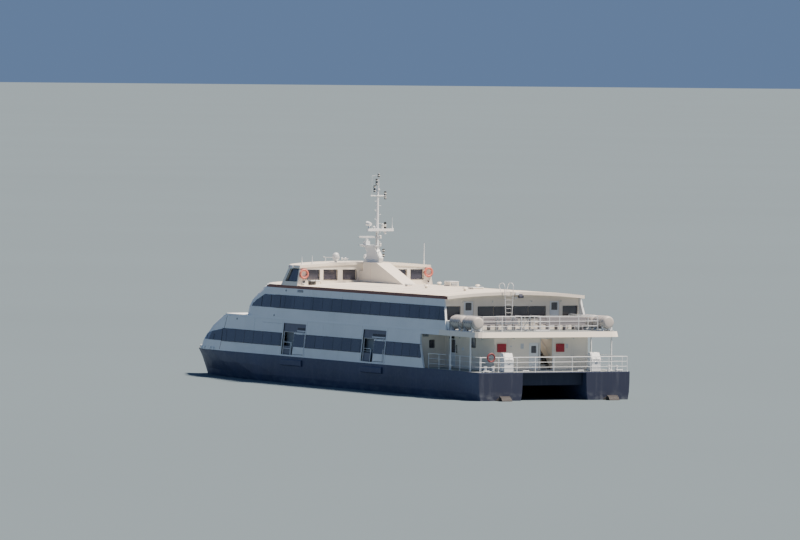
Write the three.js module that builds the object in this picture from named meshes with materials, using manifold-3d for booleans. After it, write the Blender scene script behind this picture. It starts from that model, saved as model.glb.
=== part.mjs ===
// Passenger ferry: a twin-hulled fast ferry with two saloon decks, a full-width wheelhouse and a tall
// signal mast, built as a half-scale model.
// Frame: +X to the bow, +Y to port, +Z up. Origin on the waterline, amidships, on the centreline.
// Sizes are metres of the full-size vessel. Model millimetres come in once, where a mesh is made.
import * as THREE from 'three';
import { mergeVertices } from 'three/addons/utils/BufferGeometryUtils.js';
import Module from 'manifold-3d';

const wasm = await Module();
wasm.setup();

// Scale and fits
const MODEL_MM = 500; // model millimetres for one metre of the vessel, half scale
const GAP = 0.0007; // gap between touching pieces, 0.35 mm on the model
const RUN = 0.012; // running clearance round a moving piece, 6 mm on the model
const LAP = 0.02; // how far pieces of one weldment reach into each other

// Hulls
const HALF_BEAM = 6.05;
const TRANSOM_X = -24.25;
const STEM_X = 24.25;
const HULL_Y = 4.3; // centreline of each hull
const DECK_Z = 2.0;
const DECK_T = 0.05;
const HULL_TOP = DECK_Z - DECK_T;
const WET_DECK_Z = 1.05;

// Superstructure
const WALL_T = 0.14;
const LEAN = 0.104; // the sides lean in by this much for each metre of height
const UPPER_Z = 4.8;
const UPPER_T = 0.15;
const UPPER_AFT_X = -23.37;
const FASCIA_BOTTOM = 4.42; // underside of the deeper slab aft
const AFT_WALL_X = -17.7; // upper saloon's aft wall
const WING_X = -15.75; // aft end of the lower side wall, at the deck
const HOUSE_FWD_X = -14.75; // where the narrow aft house begins
const HOUSE_AFT_X = -22.2;
const HOUSE_Y = 3.75;
const HOUSE_T = 0.1;
const SILL = 0.12; // height of the hinged doors' sills
const CEILING_Z = 6.98; // underside of the roof at its edge
const ROOF_T = 0.22;
const ROOF_CAMBER = 0.28;
const ROOF_HALF = 5.52;
const ROOF_AFT_X = -18.4;

// Window bands
const LOW_BAND = [2.72, 3.66];
const HIGH_BAND = [5.49, 6.43];
const BAND_T = 0.022;
const PANE_INSET = 0.07;

// Side doors: bay from and to, doorway from and to, all along X
const DOOR_SILL = 2.1;
const DOOR_HEAD = 3.76;
const BAY_HEAD = 4.42;
const RECESS = 0.085;
const LEAF_T = 0.05;
const SIDE_DOORS = [
  { name: 'forward', bay: [3.4, 7.05], way: [5.34, 6.99], leaf: [3.49, 5.27] },
  { name: 'aft', bay: [-9.5, -5.9], way: [-7.6, -5.96], leaf: [-9.42, -7.66] },
];

// Wheelhouse
const WHEEL_AFT_X = 5.3;
const WHEEL_HALF = 5.5;
const WHEEL_CEILING = 8.5;
const WHEEL_ROOF_T = 0.2;
const WHEEL_CAMBER = 0.24;

const halfAt = (z) => HALF_BEAM - LEAN * (z - DECK_Z);

const paint = (color, roughness, metalness = 0) =>
  new THREE.MeshStandardMaterial({ color, roughness, metalness });
const white = paint(0xe9e6dc, 0.45);
const cream = paint(0xe4dcc6, 0.5);
const navy = paint(0x1f2c4c, 0.4);
const deckGrey = paint(0x6d7478, 0.8);
const glass = paint(0x1c242c, 0.12);
const steel = paint(0xb9bcbc, 0.35, 0.8);
const bronze = paint(0x8c8f92, 0.4, 0.9);

// Solids
function solid(geometry) {
  geometry.deleteAttribute('normal');
  geometry.deleteAttribute('uv');
  const merged = mergeVertices(geometry, 1e-5);
  return new wasm.Manifold(new wasm.Mesh({
    numProp: 3,
    vertProperties: Float32Array.from(merged.attributes.position.array),
    triVerts: Uint32Array.from(merged.index.array),
  }));
}

// A copy whose points are moved by a function; flip is true where that turns it inside out
function remap(body, move, flip = false) {
  const mesh = body.getMesh();
  const points = Float32Array.from(mesh.vertProperties);
  for (let i = 0; i < points.length; i += 3) {
    points.set(move(points[i], points[i + 1], points[i + 2]), i);
  }
  const faces = Uint32Array.from(mesh.triVerts);
  if (flip) {
    for (let i = 0; i < faces.length; i += 3) {
      [faces[i], faces[i + 1]] = [faces[i + 1], faces[i]];
    }
  }
  return new wasm.Manifold(new wasm.Mesh({ numProp: 3, vertProperties: points, triVerts: faces }));
}

const shifted = (body, dx, dy, dz) => remap(body, (x, y, z) => [x + dx, y + dy, z + dz]);
const mirrored = (body) => remap(body, (x, y, z) => [x, -y, z], true);
const forSide = (body, side) => (side > 0 ? body : mirrored(body));
const leaned = (body) => remap(body, (x, y, z) => [x, y - LEAN * (z - DECK_Z), z]);
const joined = (bodies) => bodies.reduce((sum, body) => sum.add(body));

// How an outline's two directions and its depth lie in the vessel's frame
const FRAMES = {
  x: { u: [0, 1, 0], v: [0, 0, 1], w: [1, 0, 0], start: (from) => [from, 0, 0] },
  y: { u: [1, 0, 0], v: [0, 0, 1], w: [0, -1, 0], start: (from, to) => [0, to, 0] },
  z: { u: [1, 0, 0], v: [0, 1, 0], w: [0, 0, 1], start: (from) => [0, 0, from] },
};

// An outline pushed along one axis: (y, z) along x, (x, z) along y, (x, y) along z
function extruded(axis, from, to, outline) {
  const shape = new THREE.Shape(outline.map(([u, v]) => new THREE.Vector2(u, v)));
  const geometry = new THREE.ExtrudeGeometry(shape, { depth: to - from, bevelEnabled: false });
  const { u, v, w, start } = FRAMES[axis];
  const matrix = new THREE.Matrix4().makeBasis(
    new THREE.Vector3(...u), new THREE.Vector3(...v), new THREE.Vector3(...w));
  matrix.setPosition(...start(from, to));
  geometry.applyMatrix4(matrix);
  return solid(geometry);
}

// The same with holes cut right through
const prism = (axis, from, to, outline, holes = []) => holes.reduce(
  (rest, hole) => rest.subtract(extruded(axis, from - LAP, to + LAP, hole)),
  extruded(axis, from, to, outline));

function slab([x0, x1], [y0, y1], [z0, z1]) {
  const geometry = new THREE.BoxGeometry(x1 - x0, y1 - y0, z1 - z0);
  geometry.translate((x0 + x1) / 2, (y0 + y1) / 2, (z0 + z1) / 2);
  return solid(geometry);
}

function bar(from, to, radius, sides = 6, endRadius = radius) {
  const a = new THREE.Vector3(...from);
  const b = new THREE.Vector3(...to);
  const geometry = new THREE.CylinderGeometry(endRadius, radius, a.distanceTo(b), sides);
  const direction = b.clone().sub(a).normalize();
  geometry.applyQuaternion(new THREE.Quaternion().setFromUnitVectors(new THREE.Vector3(0, 1, 0), direction));
  geometry.translate(...a.add(b).multiplyScalar(0.5).toArray());
  return solid(geometry);
}

// A closed profile of (radius, height) points turned about an upright axis
function lathe(profile, sides = 16) {
  const points = profile.map(([r, h]) => new THREE.Vector2(r, h));
  const geometry = new THREE.LatheGeometry(points, sides);
  geometry.rotateX(Math.PI / 2);
  return solid(geometry);
}

const rectangle = (u0, u1, v0, v1) => [[u0, v0], [u1, v0], [u1, v1], [u0, v1]];

function roundedRectangle(u0, u1, v0, v1, radius, steps = 2) {
  const centres = [[u1 - radius, v1 - radius], [u0 + radius, v1 - radius],
    [u0 + radius, v0 + radius], [u1 - radius, v0 + radius]];
  return centres.flatMap(([u, v], quarter) => Array.from({ length: steps + 1 }, (_, i) => {
    const angle = (quarter + i / steps) * Math.PI / 2;
    return [u + radius * Math.cos(angle), v + radius * Math.sin(angle)];
  }));
}

// Level rings of (x, y) points, all with the same count and counter-clockwise, joined upwards
function loft(levels) {
  const count = levels[0].ring.length;
  const points = levels.flatMap(({ z, ring }) => ring.flatMap(([x, y]) => [x, y, z]));
  const faces = [];
  for (let level = 0; level + 1 < levels.length; level += 1) {
    for (let i = 0; i < count; i += 1) {
      const a = level * count + i;
      const b = level * count + (i + 1) % count;
      faces.push(a, b, b + count, a, b + count, a + count);
    }
  }
  const cap = (ring) => THREE.ShapeUtils.triangulateShape(ring.map(([x, y]) => new THREE.Vector2(x, y)), []);
  for (const [a, b, c] of cap(levels[0].ring)) {
    faces.push(a, c, b);
  }
  const top = (levels.length - 1) * count;
  for (const [a, b, c] of cap(levels[levels.length - 1].ring)) {
    faces.push(top + a, top + b, top + c);
  }
  const geometry = new THREE.BufferGeometry();
  geometry.setAttribute('position', new THREE.Float32BufferAttribute(points, 3));
  geometry.setIndex(faces);
  return solid(geometry);
}

// The scene graph
const ferry = new THREE.Group();

function group(parent = ferry) {
  const child = new THREE.Group();
  parent.add(child);
  return child;
}

// Adds one named piece. A moving piece gives its pivot, which becomes the mesh's position.
function add(name, body, material, parent, pivot = [0, 0, 0]) {
  const mesh = body.getMesh();
  const geometry = new THREE.BufferGeometry();
  geometry.setAttribute('position', new THREE.Float32BufferAttribute(mesh.vertProperties, 3));
  geometry.setIndex(Array.from(mesh.triVerts));
  geometry.translate(-pivot[0], -pivot[1], -pivot[2]);
  geometry.scale(MODEL_MM, MODEL_MM, MODEL_MM);
  geometry.computeVertexNormals();
  const piece = new THREE.Mesh(geometry, material);
  piece.name = name;
  piece.position.set(...pivot.map((value) => value * MODEL_MM));
  parent.add(piece);
}

const SIDES = [{ side: 1, label: 'port' }, { side: -1, label: 'starboard' }];

// Hulls
// Each level of a hull: height, half-beam, where the parallel body ends, where the stem is, how full the
// entrance is, and where the stern begins
const HULL_LEVELS = [
  { z: -1.5, half: 0.2, shoulder: 6, stem: 21.9, power: 1.6, stern: -15.0 },
  { z: -1.2, half: 0.8, shoulder: 6, stem: 22.2, power: 1.7, stern: -20.0 },
  { z: -0.75, half: 1.3, shoulder: 6, stem: 22.4, power: 1.8, stern: TRANSOM_X },
  { z: -0.2, half: 1.58, shoulder: 6, stem: 22.65, power: 1.9, stern: TRANSOM_X },
  { z: 0.5, half: 1.7, shoulder: 8, stem: 23.15, power: 2.2, stern: TRANSOM_X },
  { z: 1.2, half: 1.74, shoulder: 11, stem: 23.7, power: 3.0, stern: TRANSOM_X },
  { z: HULL_TOP, half: 1.75, shoulder: 14, stem: STEM_X, power: 4.0, stern: TRANSOM_X },
];
const ENTRANCE_STEPS = 6;
const SINGLE_STEM = 0.04; // half-width of the stem bar

function hullRing({ half, shoulder, stem, power, stern }, grow = 0) {
  const side = [[stern - grow, half + grow]];
  for (let i = 0; i <= ENTRANCE_STEPS; i += 1) {
    const along = Math.sin((i / ENTRANCE_STEPS) * Math.PI / 2);
    const x = shoulder + (stem - shoulder) * along;
    side.push([x + grow, (half - SINGLE_STEM) * (1 - along ** power) + SINGLE_STEM + grow]);
  }
  const starboard = side.map(([x, y]) => [x, -y]);
  const port = side.slice().reverse();
  return [...starboard, ...port];
}

const hullSolid = (grow = 0) => loft(HULL_LEVELS.map((level, i) => ({
  z: level.z + (i ? grow : -grow),
  ring: hullRing(level, grow).map(([x, y]) => [x, y + HULL_Y]),
})));

const JET_Z = -0.25;
const JET_X = TRANSOM_X - 0.34; // steering pivot
// The jet's housing is bolted to the transom by its flange and carries the nozzle between two ears
const JET_HOUSING = { flangeR: 0.5, flangeT: 0.1, ductR: 0.17, earHalf: 0.1, ear: [0.34, 0.44], earReach: 0.09 };

function jetHousing(y) {
  const { flangeR, flangeT, ductR, earHalf, ear, earReach } = JET_HOUSING;
  const face = TRANSOM_X - flangeT;
  const flange = bar([TRANSOM_X - GAP, y, JET_Z], [face, y, JET_Z], flangeR, 14);
  const duct = bar([face + LAP, y, JET_Z], [JET_X + 0.02, y, JET_Z], ductR, 12);
  const ears = [ear, [-ear[1], -ear[0]]].map(([low, high]) => slab(
    [JET_X - earReach, face + LAP], [y - earHalf, y + earHalf], [JET_Z + low, JET_Z + high]));
  return joined([flange, duct, ...ears]);
}

// Rubber fenders below the side doors: from and to along X, proud of the hull
const FENDER = { proud: 0.1, z: [1.32, 1.78], chamfer: 0.05, reach: 0.15 };

function fender({ bay }) {
  const [low, high] = FENDER.z;
  const out = HALF_BEAM + FENDER.proud;
  return prism('x', bay[0] + FENDER.reach, bay[1] - FENDER.reach, [[HALF_BEAM - 0.1, low],
    [out - FENDER.chamfer, low], [out, low + FENDER.chamfer], [out, high - FENDER.chamfer],
    [out - FENDER.chamfer, high], [HALF_BEAM - 0.1, high]]);
}

const hulls = group();
const portHull = joined([hullSolid(), ...SIDE_DOORS.map(fender)]);
for (const { side, label } of SIDES) {
  add(`hull_${label}`, forSide(portHull, side), navy, hulls);
  add(`jet_housing_${label}`, jetHousing(side * HULL_Y), bronze, hulls);
}

// Wet deck between the hulls, raked at its front
const BRIDGE_AFT_X = -23.7;
const BRIDGE_RAKE_X = [20.2, 23.4];
const bridgeSide = [[BRIDGE_AFT_X, WET_DECK_Z], [BRIDGE_RAKE_X[0], WET_DECK_Z],
  [BRIDGE_RAKE_X[1], HULL_TOP - GAP], [BRIDGE_AFT_X, HULL_TOP - GAP]];
const clearOfHull = hullSolid(GAP);
const bridgeDeck = prism('y', -HULL_Y, HULL_Y, bridgeSide)
  .subtract(clearOfHull)
  .subtract(mirrored(clearOfHull));
add('bridge_deck', bridgeDeck, navy, hulls);

// Main deck plate, with the bollards, vent trunks and boarding sills that are welded to it
function deckOutline() {
  const top = HULL_LEVELS[HULL_LEVELS.length - 1];
  const outboard = hullRing(top).filter(([, y]) => y > 0).map(([x, y]) => [x, y + HULL_Y]);
  const port = [[23.5, 0], [23.55, HULL_Y - 0.35], ...outboard];
  return [...port, ...port.slice(1).reverse().map(([x, y]) => [x, -y])];
}

const BOLLARD = { y: 4.95, x: -23.7, post: 0.09, height: 0.42, spacing: 0.62 };
const TRUNK = { y: 3.5, x: [-23.95, -23.3], width: 0.72, height: 1.34, slope: 0.25 };

function bollard(side) {
  const posts = [-0.5, 0.5].map((place) => {
    const y = side * BOLLARD.y + place * BOLLARD.spacing;
    const shaft = bar([BOLLARD.x, y, DECK_Z - LAP], [BOLLARD.x, y, DECK_Z + BOLLARD.height], BOLLARD.post, 10);
    const cap = bar([BOLLARD.x, y, DECK_Z + BOLLARD.height - 0.04], [BOLLARD.x, y, DECK_Z + BOLLARD.height],
      BOLLARD.post + 0.035, 10);
    return shaft.add(cap);
  });
  const base = slab([BOLLARD.x - 0.16, BOLLARD.x + 0.16],
    [side * BOLLARD.y - 0.5, side * BOLLARD.y + 0.5], [DECK_Z - LAP, DECK_Z + 0.03]);
  return joined([base, ...posts]);
}

function ventTrunk(side) {
  const [aft, fwd] = TRUNK.x;
  const outline = [[aft, DECK_Z - LAP], [fwd, DECK_Z - LAP], [fwd, DECK_Z + TRUNK.height],
    [aft + TRUNK.slope, DECK_Z + TRUNK.height], [aft, DECK_Z + TRUNK.height - 0.5]];
  const centre = side * TRUNK.y;
  return prism('y', centre - TRUNK.width / 2, centre + TRUNK.width / 2, outline);
}

const plate = prism('z', HULL_TOP, DECK_Z, deckOutline());
const mainDeck = joined([plate, ...[1, -1].flatMap((side) => [bollard(side), ventTrunk(side)])]);
add('main_deck', mainDeck, deckGrey, hulls);

// Lower saloon
const lower = group();

// The slanted seam where the flat side ends and the curved bow begins
const seamX = (z) => 17.4 - 0.31 * (z - 2.06);

function paneHoles(from, to, count, [z0, z1], mullion = 0.22) {
  const pitch = (to - from) / count;
  return Array.from({ length: count }, (_, i) => rectangle(
    from + i * pitch + mullion / 2, from + (i + 1) * pitch - mullion / 2,
    z0 + PANE_INSET, z1 - PANE_INSET));
}

// Runs of lower windows: from, to, panes
const LOW_RUNS = [
  { from: -14.7, to: -9.75, count: 4 },
  { from: -5.6, to: 3.1, count: 6 },
  { from: 7.3, to: 16.4, count: 6 },
];

function lowerSide() {
  const foot = DECK_Z + GAP;
  const head = UPPER_Z - UPPER_T - GAP;
  const outline = [[WING_X, foot], [seamX(foot) - GAP, foot], [seamX(head) - GAP, head],
    [HOUSE_FWD_X - 0.05, head], [HOUSE_FWD_X - 0.05, 3.9]];
  const panes = LOW_RUNS.flatMap(({ from, to, count }) => paneHoles(from, to, count, LOW_BAND));
  const bays = SIDE_DOORS.map(({ bay }) => rectangle(bay[0], bay[1], DOOR_SILL - 0.02, BAY_HEAD));
  const ways = SIDE_DOORS.map(({ way }) => rectangle(way[0], way[1], DOOR_SILL - 0.02, DOOR_HEAD));
  const wall = prism('y', HALF_BEAM - WALL_T, HALF_BEAM, outline, [...panes, ...ways]);
  const recesses = bays.map((bay) => prism('y', HALF_BEAM - RECESS, HALF_BEAM + LAP, bay));
  return leaned(recesses.reduce((rest, recess) => rest.subtract(recess), wall));
}

function slidingLeaf({ leaf }) {
  const foot = DOOR_SILL + RUN - 0.02;
  const back = HALF_BEAM - RECESS + RUN;
  const pane = roundedRectangle(leaf[0] + 0.2, leaf[1] - 0.2, LOW_BAND[0] + 0.05, LOW_BAND[1] - 0.05, 0.08);
  const panel = prism('y', back, back + LEAF_T, rectangle(leaf[0], leaf[1], foot, DOOR_HEAD - RUN), [pane]);
  const shoes = [0.15, 0.85].map((share) => {
    const x = leaf[0] + share * (leaf[1] - leaf[0]);
    return slab([x - 0.08, x + 0.08], [back, back + LEAF_T], [DOOR_SILL - 0.02 + GAP, foot + LAP]);
  });
  return leaned(joined([panel, ...shoes]));
}

const lowBands = [
  { name: 'aft', outline: [[-15.3, LOW_BAND[0]], [-9.62, LOW_BAND[0]], [-9.62, LOW_BAND[1]],
    [-14.85, LOW_BAND[1]]] },
  { name: 'middle', outline: rectangle(-5.78, 3.28, ...LOW_BAND) },
];

const portLowerSide = lowerSide();
for (const { side, label } of SIDES) {
  add(`side_wall_lower_${label}`, forSide(portLowerSide, side), white, lower);
  for (const { name, outline } of lowBands) {
    const band = leaned(prism('y', HALF_BEAM + GAP, HALF_BEAM + BAND_T, outline));
    add(`window_band_lower_${name}_${label}`, forSide(band, side), glass, lower);
  }
  for (const door of SIDE_DOORS) {
    add(`side_door_${door.name}_${label}`, forSide(slidingLeaf(door), side), white, lower);
  }
}

// Curved bow and upper front
const FRONT_STEPS = 8;

// One level of a curved front: straight sides up to start, then a squared-off curve to nose
function frontRing({ z, start, nose, power }, aft, grow) {
  const half = halfAt(z) + grow;
  const quarter = [[aft, half]];
  for (let i = 0; i <= FRONT_STEPS; i += 1) {
    const angle = (i / FRONT_STEPS) * Math.PI / 2;
    const x = start + (nose - start + grow) * Math.sin(angle) ** (2 / power);
    quarter.push([x, half * Math.cos(angle) ** (2 / power)]);
  }
  const port = quarter.slice(0, -1);
  const nosePoint = quarter[quarter.length - 1];
  return [...port.map(([x, y]) => [x, -y]), [nosePoint[0], 0], ...port.slice().reverse()];
}

const front = (levels, aft, grow) => loft(levels.map((level) => ({
  z: level.z,
  ring: frontRing(level, aft, grow),
})));

const BOW_LEVELS = [
  { z: DECK_Z + GAP, nose: 23.3 },
  { z: 2.6, nose: 23.05 },
  { z: 3.1, nose: 22.35 },
  { z: 3.8, nose: 21.1 },
  { z: 4.4, nose: 19.4 },
  { z: UPPER_Z - UPPER_T - GAP, nose: 18.3 },
].map((level) => ({ ...level, start: seamX(level.z) + 0.06, power: 3.6 }));
const HIGH_LEVELS = [
  { z: UPPER_Z + GAP, start: 11.0, nose: 15.3, power: 4 },
  { z: 5.45, start: 10.8, nose: 15.15, power: 4 },
  { z: 5.95, start: 10.4, nose: 14.7, power: 4 },
  { z: 6.45, start: 9.9, nose: 13.7, power: 4 },
  { z: 6.8, start: 9.4, nose: 12.9, power: 4 },
  { z: CEILING_Z + 0.3, start: 8.9, nose: 11.9, power: 4 },
];

// Everything aft of a slanted line, or forward of it, as a tool to cut with
const FAR = 40;
const seamCutter = (line, z0, z1, reach) => prism('y', -FAR, FAR,
  [[line(z0) + reach, z0], [line(z0), z0], [line(z1), z1], [line(z1) + reach, z1]]);

// Side windows and front windows are cut in a front by upright prisms
function frontShell(levels, aft, cuts) {
  const outer = front(levels, aft, 0);
  const inner = remap(front(levels, aft - 1, -WALL_T), (x, y, z) => [
    x, y, z < levels[0].z + 0.01 ? z - 0.1 : z > levels[levels.length - 1].z - 0.01 ? z + 0.1 : z]);
  return cuts.reduce((body, cut) => body.subtract(cut), outer.subtract(inner));
}

const bandTube = (levels, aft, inside, outside) =>
  front(levels, aft, outside).subtract(front(levels, aft - 1, inside));

// Bow
const bowPanes = paneHoles(17.15, 21.4, 3, LOW_BAND).map((hole) => prism('y', -FAR, FAR, hole));
const bowFrontPanes = paneHoles(-4.4, 4.4, 6, [2.85, 4.0]).map((hole) => prism('x', 19.5, FAR, hole));
const bowCutter = seamCutter(seamX, 1, 6, -20);
const bow = frontShell(BOW_LEVELS, 14, [...bowPanes, ...bowFrontPanes]).subtract(bowCutter);
add('bow_fairing', bow, white, lower);

// Aft house: narrow walls between the side walkways, and the bulkhead across their ends
const HOUSE_FOOT = DECK_Z + GAP;
const HOUSE_HEAD = FASCIA_BOTTOM - GAP;
const HOUSE_DOOR = { x: [-16.25, -15.35], foot: HOUSE_FOOT + SILL, head: 4.05 };
const HOUSE_WINDOW = [-19.36, -18.59, 3.57, 4.24];
const WING_WINDOW = [4.65, 5.04, 3.41, 3.94];

function aftHouseSide() {
  const wall = prism('y', HOUSE_Y - HOUSE_T, HOUSE_Y,
    rectangle(HOUSE_AFT_X + HOUSE_T + GAP, HOUSE_FWD_X, HOUSE_FOOT, HOUSE_HEAD),
    [rectangle(...HOUSE_DOOR.x, HOUSE_DOOR.foot, HOUSE_DOOR.head), roundedRectangle(...HOUSE_WINDOW, 0.08)]);
  const inner = HOUSE_Y - HOUSE_T;
  const outer = HALF_BEAM - WALL_T - GAP;
  const wing = prism('x', HOUSE_FWD_X, HOUSE_FWD_X + HOUSE_T,
    [[inner, HOUSE_FOOT], [outer, HOUSE_FOOT], [outer - LEAN * (HOUSE_HEAD - DECK_Z), HOUSE_HEAD],
      [inner, HOUSE_HEAD]],
    [roundedRectangle(...WING_WINDOW, 0.05)]);
  return wall.add(wing);
}

const portHouse = aftHouseSide();
for (const { side, label } of SIDES) {
  add(`aft_house_${label}`, forSide(portHouse, side), cream, lower);
}

const STAIR_Y = [-0.9, 0.07];
const AFT_DOOR = { y: [0.2, 0.98], foot: DECK_Z + SILL, head: 3.98 };
const bulkhead = prism('x', HOUSE_AFT_X, HOUSE_AFT_X + HOUSE_T,
  rectangle(-HOUSE_Y, HOUSE_Y, HOUSE_FOOT, HOUSE_HEAD), [
    rectangle(...AFT_DOOR.y, AFT_DOOR.foot, AFT_DOOR.head),
    rectangle(...STAIR_Y, DECK_Z + SILL / 2, 4.3),
  ]);
add('aft_bulkhead', bulkhead, cream, lower);

// Hinged doors: round barrels on the hinge line meet the frame, and the panel lies flush in the wall
const HINGE_R = 0.022;
const HINGE_HEIGHTS = [0.2, 0.8];
const HINGE_HALF = 0.08;
const DOOR_T = 0.05;
const DOOR_DEPTH = 0.025; // how far the panel's face lies behind the wall's

const hingeBarrels = (x, y, z) => HINGE_HEIGHTS.map((share) => {
  const middle = THREE.MathUtils.lerp(...z, share);
  return bar([x, y, middle - HINGE_HALF], [x, y, middle + HINGE_HALF], HINGE_R - GAP, 12);
});

// A door in a bulkhead that lies across the vessel
function hingedDoor({ x, hingeEdge, freeEdge, foot, head, window }) {
  const inward = Math.sign(freeEdge - hingeEdge);
  const hinge = hingeEdge + inward * HINGE_R;
  const free = freeEdge - inward * HINGE_R;
  const z = [foot + RUN, head - RUN];
  const panel = prism('x', x, x + DOOR_T, rectangle(Math.min(hinge, free), Math.max(hinge, free), ...z),
    [rectangle(...window)]);
  return { body: joined([panel, ...hingeBarrels(x, hinge, z)]), pivot: [x, hinge, foot] };
}

// The door of the walkway turns on its forward edge
const WALKWAY_PANE = { aft: 0.22, forward: 0.2, z: [3.14, 3.92] };

function walkwayDoor() {
  const face = HOUSE_Y - DOOR_DEPTH;
  const [aft, forward] = HOUSE_DOOR.x;
  const hinge = forward - HINGE_R;
  const z = [HOUSE_DOOR.foot + RUN, HOUSE_DOOR.head - RUN];
  const pane = roundedRectangle(aft + WALKWAY_PANE.aft, forward - WALKWAY_PANE.forward, ...WALKWAY_PANE.z, 0.06);
  const panel = prism('y', face - DOOR_T, face, rectangle(aft + HINGE_R, hinge, ...z), [pane]);
  return { body: joined([panel, ...hingeBarrels(hinge, face, z)]), pivot: [hinge, face, HOUSE_DOOR.foot] };
}
const portWalkwayDoor = walkwayDoor();
for (const { side, label } of SIDES) {
  const [x, y, z] = portWalkwayDoor.pivot;
  add(`walkway_door_${label}`, forSide(portWalkwayDoor.body, side), white, lower, [x, side * y, z]);
}

const aftDoor = hingedDoor({ x: HOUSE_AFT_X + DOOR_DEPTH, hingeEdge: AFT_DOOR.y[1], freeEdge: AFT_DOOR.y[0],
  foot: AFT_DOOR.foot, head: AFT_DOOR.head, window: [0.42, 0.76, 3.3, 3.75] });
add('aft_door', aftDoor.body, white, lower, aftDoor.pivot);

// Stair up to the upper deck, rising forward
const STAIR = { steps: 13, rise: 0.2, going: 0.24, fromX: -21.9, tread: 0.035, side: 0.04 };

function stair() {
  const [y0, y1] = [STAIR_Y[0] + 0.05, STAIR_Y[1] - 0.05];
  const treads = Array.from({ length: STAIR.steps }, (_, i) => {
    const x = STAIR.fromX + i * STAIR.going;
    const z = DECK_Z + (i + 1) * STAIR.rise;
    return slab([x, x + STAIR.going + 0.03], [y0, y1], [z - STAIR.tread, z]);
  });
  const run = STAIR.steps * STAIR.going;
  const rise = STAIR.steps * STAIR.rise;
  const x0 = STAIR.fromX;
  const foot = DECK_Z + GAP;
  const outline = [[x0 - 0.06, foot], [x0 + 0.24, foot], [x0 + run + 0.05, foot + rise - 0.24],
    [x0 + run + 0.05, foot + rise + 0.02], [x0 + run - 0.15, foot + rise + 0.02], [x0 - 0.06, foot + 0.24]];
  const stringers = [[y0 - STAIR.side, y0 + 0.005], [y1 - 0.005, y1 + STAIR.side]]
    .map(([a, b]) => prism('y', a, b, outline));
  return joined([...treads, ...stringers]);
}
add('stair', stair(), steel, lower);

// Upper deck: a plate over the saloon and a deeper slab aft, whose edge flares out downwards
const upper = group();

const UPPER_DECK = { half: 5.74, corner: 0.7, flare: 0.07, joint: HOUSE_FWD_X - 0.06, wellAftX: -21.5 };

function upperDeck() {
  const { half, corner, flare, joint, wellAftX } = UPPER_DECK;
  const levels = [
    { z: UPPER_Z - UPPER_T, start: 16.6, nose: 18.2, power: 3.6 },
    { z: UPPER_Z, start: 16.55, nose: 17.6, power: 3.6 },
  ];
  const plateOver = front(levels, joint, 0);
  const edge = (grow) => roundedRectangle(UPPER_AFT_X - grow, joint + 6, -half - grow, half + grow, corner, 4);
  const slabAft = loft([{ z: FASCIA_BOTTOM, ring: edge(flare) }, { z: UPPER_Z, ring: edge(0) }])
    .subtract(slab([joint, 0], [-7, 7], [4, 5]));
  const stairWell = slab([wellAftX, STAIR.fromX + STAIR.steps * STAIR.going + 0.1], STAIR_Y, [4, 5]);
  return plateOver.add(slabAft).subtract(stairWell);
}
add('upper_deck', upperDeck(), cream, upper);

// Upper saloon sides
const highSeamX = (z) => 8.9 - 0.55 * (z - CEILING_Z);
const wingTipX = (z) => -18.6 + 0.32 * (z - UPPER_Z);

function upperSide() {
  const foot = UPPER_Z + GAP;
  const head = CEILING_Z + 0.2;
  const outline = [[wingTipX(foot), foot], [highSeamX(foot) - 1.2 - GAP, foot],
    [highSeamX(head) - 1.2 - GAP, head], [wingTipX(head), head]];
  const panes = paneHoles(-17.4, 7.2, 16, HIGH_BAND);
  return leaned(prism('y', HALF_BEAM - WALL_T, HALF_BEAM, outline, panes));
}

// Cambered roofs: heights across the vessel, and what lies between two such lines
const roofUnder = (y) => CEILING_Z + ROOF_CAMBER * (1 - (y / ROOF_HALF) ** 2);
const roofTop = (y) => roofUnder(y) + ROOF_T;
const wheelUnder = (y) => WHEEL_CEILING + WHEEL_CAMBER * (1 - (y / WHEEL_HALF) ** 2);
const wheelTop = (y) => wheelUnder(y) + WHEEL_ROOF_T;
const CAMBER_WIDTH = 7;
const CAMBER_STEPS = 12;

function between(lowerLine, upperLine, [x0, x1]) {
  const across = Array.from({ length: CAMBER_STEPS + 1 },
    (_, i) => CAMBER_WIDTH * (1 - (2 * i) / CAMBER_STEPS));
  const top = across.map((y) => [y, upperLine(y)]);
  const bottom = across.map((y) => [y, lowerLine(y)]).reverse();
  return prism('x', x0, x1, [...top, ...bottom]);
}
const SKY = () => 20;
const SEABED = () => -5;
const underRoof = (body) => body.subtract(between((y) => roofUnder(y) - GAP, SKY, [-FAR, FAR]));

const portUpperSide = underRoof(upperSide());
for (const { side, label } of SIDES) {
  add(`side_wall_upper_${label}`, forSide(portUpperSide, side), white, upper);
}

const highCutter = seamCutter((z) => highSeamX(z) - 1.2, 4, 8, -20);
const highPanes = paneHoles(7.95, 12.6, 3, HIGH_BAND).map((hole) => prism('y', -FAR, FAR, hole));
const highFrontPanes = paneHoles(-4.6, 4.6, 6, [5.5, 6.45]).map((hole) => prism('x', 12.8, FAR, hole));
const highFront = underRoof(frontShell(HIGH_LEVELS, 6, [...highPanes, ...highFrontPanes]).subtract(highCutter));
add('upper_front', highFront, white, upper);

const roofLevels = [
  { z: CEILING_Z - 0.2, start: 9.1, nose: 12.6, power: 4 },
  { z: CEILING_Z + 0.2, start: 8.9, nose: 11.9, power: 4 },
  { z: CEILING_Z + 0.8, start: 8.4, nose: 10.6, power: 4 },
];
const roofPlan = loft(roofLevels.map((level) => ({
  z: level.z,
  ring: frontRing({ ...level, z: CEILING_Z }, ROOF_AFT_X, 0),
})));
const bareRoof = between(roofUnder, roofTop, [ROOF_AFT_X, 16]).intersect(roofPlan);

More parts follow.
